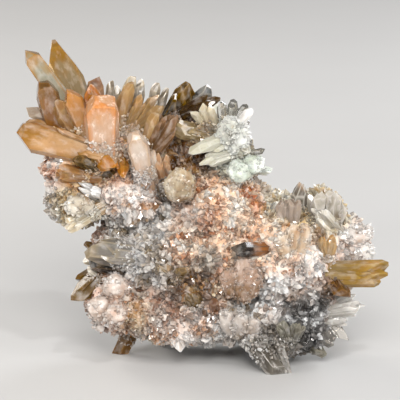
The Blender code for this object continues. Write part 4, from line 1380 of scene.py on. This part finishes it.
def grown_grains(grains, crystals):
    """Small crystals on the sides of the large ones, thickest near their roots."""
    rng = np.random.default_rng(9)
    found = [row for crystal in crystals for row in grown_on(crystal)]
    places, outward, axes, along, own = (np.array(part) for part in zip(*found))
    count = len(places)
    out, up, astray = GROWN_LEAN
    ways = unit(outward * out + axes * up + rng.normal(size=(count, 3)) * astray)
    lengths = GROWN_LENGTH * (1 - GROWN_TAPER * along)
    lengths = np.clip(lengths * np.exp(rng.normal(size=count) * GROWN_VARIETY), *GROWN_LENGTHS)
    widths = np.clip(lengths * rng.uniform(*GROWN_WIDTHS, count), *GROWN_LIMITS)
    tints = zone_tints(places, GROWN_SHIFT + rng.normal(size=count) * TINT_JITTER)
    tints = mixed(own, tints, rng.uniform(*GROWN_BLEND, count))
    kinds = rng.choice(len(GROWN_KINDS), count, p=GROWN_KINDS)
    grains.add(places, ways, lengths, widths, tints, kinds)


class Graph:
    """Short ways to add nodes to a material."""

    def __init__(self, name):
        self.material = bpy.data.materials.new(name)
        self.material.use_nodes = True
        self.tree = self.material.node_tree
        self.shader = self.tree.nodes["Principled BSDF"].inputs
        self.output = self.tree.nodes["Material Output"].inputs

    def put(self, socket, value):
        """Links a socket to another one, or sets its value."""
        if isinstance(value, bpy.types.NodeSocket):
            self.tree.links.new(value, socket)
        else:
            socket.default_value = value

    def add(self, kind, inputs, output=0, **settings):
        """Adds a node with its inputs by name or number, and gives one of its outputs."""
        made = configured(self.tree.nodes.new("ShaderNode" + kind), settings)
        for name, value in inputs.items():
            self.put(made.inputs[name], value)
        return made.outputs[output]

    def attribute(self, name, output="Vector"):
        return self.add("Attribute", {}, output, attribute_name=name)

    def noise(self, place, stretch, scale, detail):
        """A noise from 0 to 1 whose grain is stretched along the crystal."""
        mapped = self.add("Mapping", {"Vector": place, "Scale": (1.0, 1.0, stretch)})
        return self.add("TexNoise", {"Vector": mapped, "Scale": scale, "Detail": detail}, "Fac")

    def range(self, value, low, high, to_low, to_high):
        """A value that goes from low to high, stretched to go from to_low to to_high."""
        inputs = {"Value": value, "From Min": low, "From Max": high}
        return self.add("MapRange", {**inputs, "To Min": to_low, "To Max": to_high})

    def blend(self, share, a, b):
        """A colour between a and b."""
        return self.add("Mix", {0: share, 6: a, 7: b}, 2, data_type="RGBA")

    def scaled(self, colour, factor):
        return self.add("VectorMath", {0: colour, "Scale": factor}, operation="SCALE")


IOR = 1.47
# How far light spreads inside in m, more of the red, and the colours that make a crystal paler.
SPREAD = 0.002
SPREAD_SHARES = (1.0, 0.94, 0.88)
VEIL = (1.0, 0.96, 0.92, 1.0)
PALE = (1.0, 0.95, 0.90, 1.0)
# The noises as (stretch, scale, detail): cloudy zones, veils, lines, specks and ribs.
ZONE_NOISE = (0.7, 0.30, 2.0)
VEIL_NOISE = (0.55, 0.55, 3.0)
LINE_NOISE = (0.2, 1.5, 3.0)
SPECK_NOISE = (0.6, 1.9, 2.0)
RIB_NOISE = (0.15, 1.4, 2.0)
RIBS = {"Strength": 0.25, "Distance": 0.00006}
# The ranges, as those of Graph.range: how far a zone shifts the colours, where the colours past the
# root, at the tip, on edges and in veils show, the tones, and the roughness of veils.
ZONE_SHIFT = (0.3, 0.7, -0.20, 0.20)
ROOT_FADE = (0.0, 0.4, 0.0, 1.0)
TIP_FADE = (0.68, 0.98, 0.0, 1.0)
EDGE_FADE = (0.35, 1.0, 0.0, 0.7)
VEIL_FADE = (0.48, 0.75, 0.0, 0.35)
LINE_TONES = (0.3, 0.7, 0.94, 1.05)
SPECK_TONES = (0.62, 0.72, 1.0, 0.82)
VEIL_RANGE = (0.35, 0.65)
VEIL_ROUGHNESS = (0.5, 1.9)


def crystal_material(name, transmission, roughness, subsurface, paler, absorb, density):
    """Crystal whose colour changes along it, with cloudy zones, veils, lines and specks."""
    g = Graph(name)
    g.shader["Transmission Weight"].default_value = transmission
    g.shader["IOR"].default_value = IOR
    g.shader["Subsurface Weight"].default_value = subsurface
    g.shader["Subsurface Radius"].default_value = SPREAD_SHARES
    g.shader["Subsurface Scale"].default_value = SPREAD

    growth = g.attribute("growth")
    place = g.attribute("place")
    share, rim = (g.add("SeparateXYZ", {"Vector": place}, axis) for axis in "XY")
    zones = g.range(g.noise(growth, *ZONE_NOISE), *ZONE_SHIFT)
    along = g.add("Math", {0: share, 1: zones}, operation="ADD")
    root, middle, tip, edge = (g.attribute(colour, "Color") for colour in COLOURS)
    colour = g.blend(g.range(along, *ROOT_FADE), root, middle)
    colour = g.blend(g.range(along, *TIP_FADE), colour, tip)
    colour = g.blend(g.range(rim, *EDGE_FADE), colour, edge)
    veils = g.noise(growth, *VEIL_NOISE)
    colour = g.blend(g.range(veils, *VEIL_FADE), colour, VEIL)
    colour = g.blend(paler, colour, PALE)
    colour = g.scaled(colour, g.range(g.noise(growth, *LINE_NOISE), *LINE_TONES))
    colour = g.scaled(colour, g.range(g.noise(growth, *SPECK_NOISE), *SPECK_TONES))
    g.put(g.shader["Base Color"], colour)
    rough = g.range(veils, *VEIL_RANGE, *(roughness * share for share in VEIL_ROUGHNESS))
    g.put(g.shader["Roughness"], rough)
    g.put(g.shader["Normal"], g.add("Bump", {**RIBS, "Height": g.noise(growth, *RIB_NOISE)}))
    if density:
        inside = g.add("VolumeAbsorption", {"Color": (*absorb, 1.0), "Density": density})
        g.put(g.output["Volume"], inside)
    return g.material


FLOOR_SIZE = 6.0
FLOOR_ROUGHNESS = 0.6
FLOOR_TONES = (0.50, 0.54)
FLOOR_GRAIN = {"Scale": 60.0, "Detail": 4.0}
WORLD_COLOUR = (1.0, 0.96, 0.92, 1.0)
WORLD_STRENGTH = 0.28
# What the lights point at, then the place, size, power in W and colour of each.
MIDDLE = Vector((0.0, 0.0, 0.045))
LIGHTS = {
    "key": ((0.02, -0.85, 0.50), (0.30, 0.30), 8.2, (1.0, 0.98, 0.95)),
    "side_left": ((-0.75, -0.35, 0.25), (0.25, 0.35), 1.9, (1.0, 0.97, 0.93)),
    "side_right": ((0.70, -0.50, 0.22), (0.30, 0.40), 3.6, (1.0, 0.98, 0.96)),
    "rim_left": ((-0.50, 0.50, 0.45), (0.35, 0.40), 3.3, (1.0, 0.95, 0.88)),
    "rim_right": ((0.45, 0.55, 0.40), (0.35, 0.40), 3.1, (0.95, 0.97, 1.0)),
    "spark": ((0.15, -0.55, 0.65), (0.05, 0.05), 1.5, (1.0, 1.0, 1.0)),
    "spark_left": ((-0.45, -0.70, 0.35), (0.05, 0.05), 1.0, (1.0, 1.0, 1.0)),
    "spark_right": ((0.40, -0.75, 0.20), (0.05, 0.05), 1.0, (1.0, 1.0, 1.0)),
}
# The camera stands this far off, in front of this point of the picture plane, in mm.
CAMERA_AWAY = 1500.0
CAMERA_RIGHT = -0.9
CAMERA_UP = 46.344
CAMERA_LENS = 450.0
SENSOR = 36.0
CLIP = (0.05, 20.0)


def floor():
    bpy.ops.mesh.primitive_plane_add(size=FLOOR_SIZE, location=(0, 0, 0))
    made = bpy.context.object
    made.name = "floor"
    g = Graph("pale_floor")
    grain = g.add("TexNoise", FLOOR_GRAIN, "Fac")
    g.put(g.shader["Base Color"], g.range(grain, 0.0, 1.0, *FLOOR_TONES))
    g.shader["Roughness"].default_value = FLOOR_ROUGHNESS
    made.data.materials.append(g.material)
    made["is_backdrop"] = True


def studio():
    """A pale floor, soft light and the camera at the height of the photograph's."""
    floor()
    world = bpy.data.worlds.new("studio")
    world.use_nodes = True
    background = world.node_tree.nodes["Background"].inputs
    background["Color"].default_value = WORLD_COLOUR
    background["Strength"].default_value = WORLD_STRENGTH
    bpy.context.scene.world = world
    for name, (place, (wide, high), power, colour) in LIGHTS.items():
        lamp = bpy.data.lights.new(name, "AREA")
        configured(lamp, {"shape": "RECTANGLE", "size": wide, "size_y": high, "energy": power,
                          "color": colour})
        light = linked(name, lamp)
        light.location = place
        light.rotation_euler = (MIDDLE - Vector(place)).to_track_quat("-Z", "Y").to_euler()

    into = Vector((0.0, math.cos(VIEW_TILT), -math.sin(VIEW_TILT)))
    up = Vector((0.0, math.sin(VIEW_TILT), math.cos(VIEW_TILT)))
    lens = bpy.data.cameras.new("camera")
    lens.lens = CAMERA_LENS
    lens.sensor_width = SENSOR
    lens.clip_start, lens.clip_end = CLIP
    camera = linked("camera", lens)
    place = Vector((CAMERA_RIGHT, 0.0, 0.0)) + up * CAMERA_UP - into * CAMERA_AWAY
    camera.location = place * MM
    camera.rotation_euler = into.to_track_quat("-Z", "Y").to_euler()
    bpy.context.scene.camera = camera
    bpy.context.scene.view_settings.view_transform = "Standard"


def build():
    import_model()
    cad_low, cad_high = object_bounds()
    materials = [crystal_material(f"{kind}_crystal", *row) for kind, row in MATERIALS.items()]
    families = {name: crystals_of(table, seen) for name, table in FAMILIES.items()}
    families.update({group.name: group_crystals(group) for group in BACK_GROUPS})
    feet = [foot._replace(twist=FOOT_TWIST) for foot in crystals_of(FEET, plain)]
    small, medium = Grains(), Grains()
    pieces = [
        family_batch(family, small).piece(name, materials) for name, family in families.items()
    ]
    pieces.append(feet_piece(feet, materials))
    mesh = crust_mesh()
    pieces.append(crust_piece(mesh, materials))
    crust_grains(small, mesh)
    grown_grains(small, sum(families.values(), []) + feet)
    medium_crystals(medium, mesh)
    low, high = np.array(cad_low), np.array(cad_high)
    small_forms = [small_form(seed) for seed in range(SMALL_FORMS)]
    medium_forms = [medium_form(*form) for form in MEDIUM_FORMS]
    for size, grains, forms, seed in (
        ("small", small, small_forms, 23), ("medium", medium, medium_forms, 29),
    ):
        for kind, batch in grains.batches(low, high, mesh, forms, seed).items():
            pieces.append(batch.piece(f"{size}_crystals_{kind}", materials))
    for piece in pieces:
        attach(piece, "root")
        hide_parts(NODE)
    studio()
    low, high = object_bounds()


build()
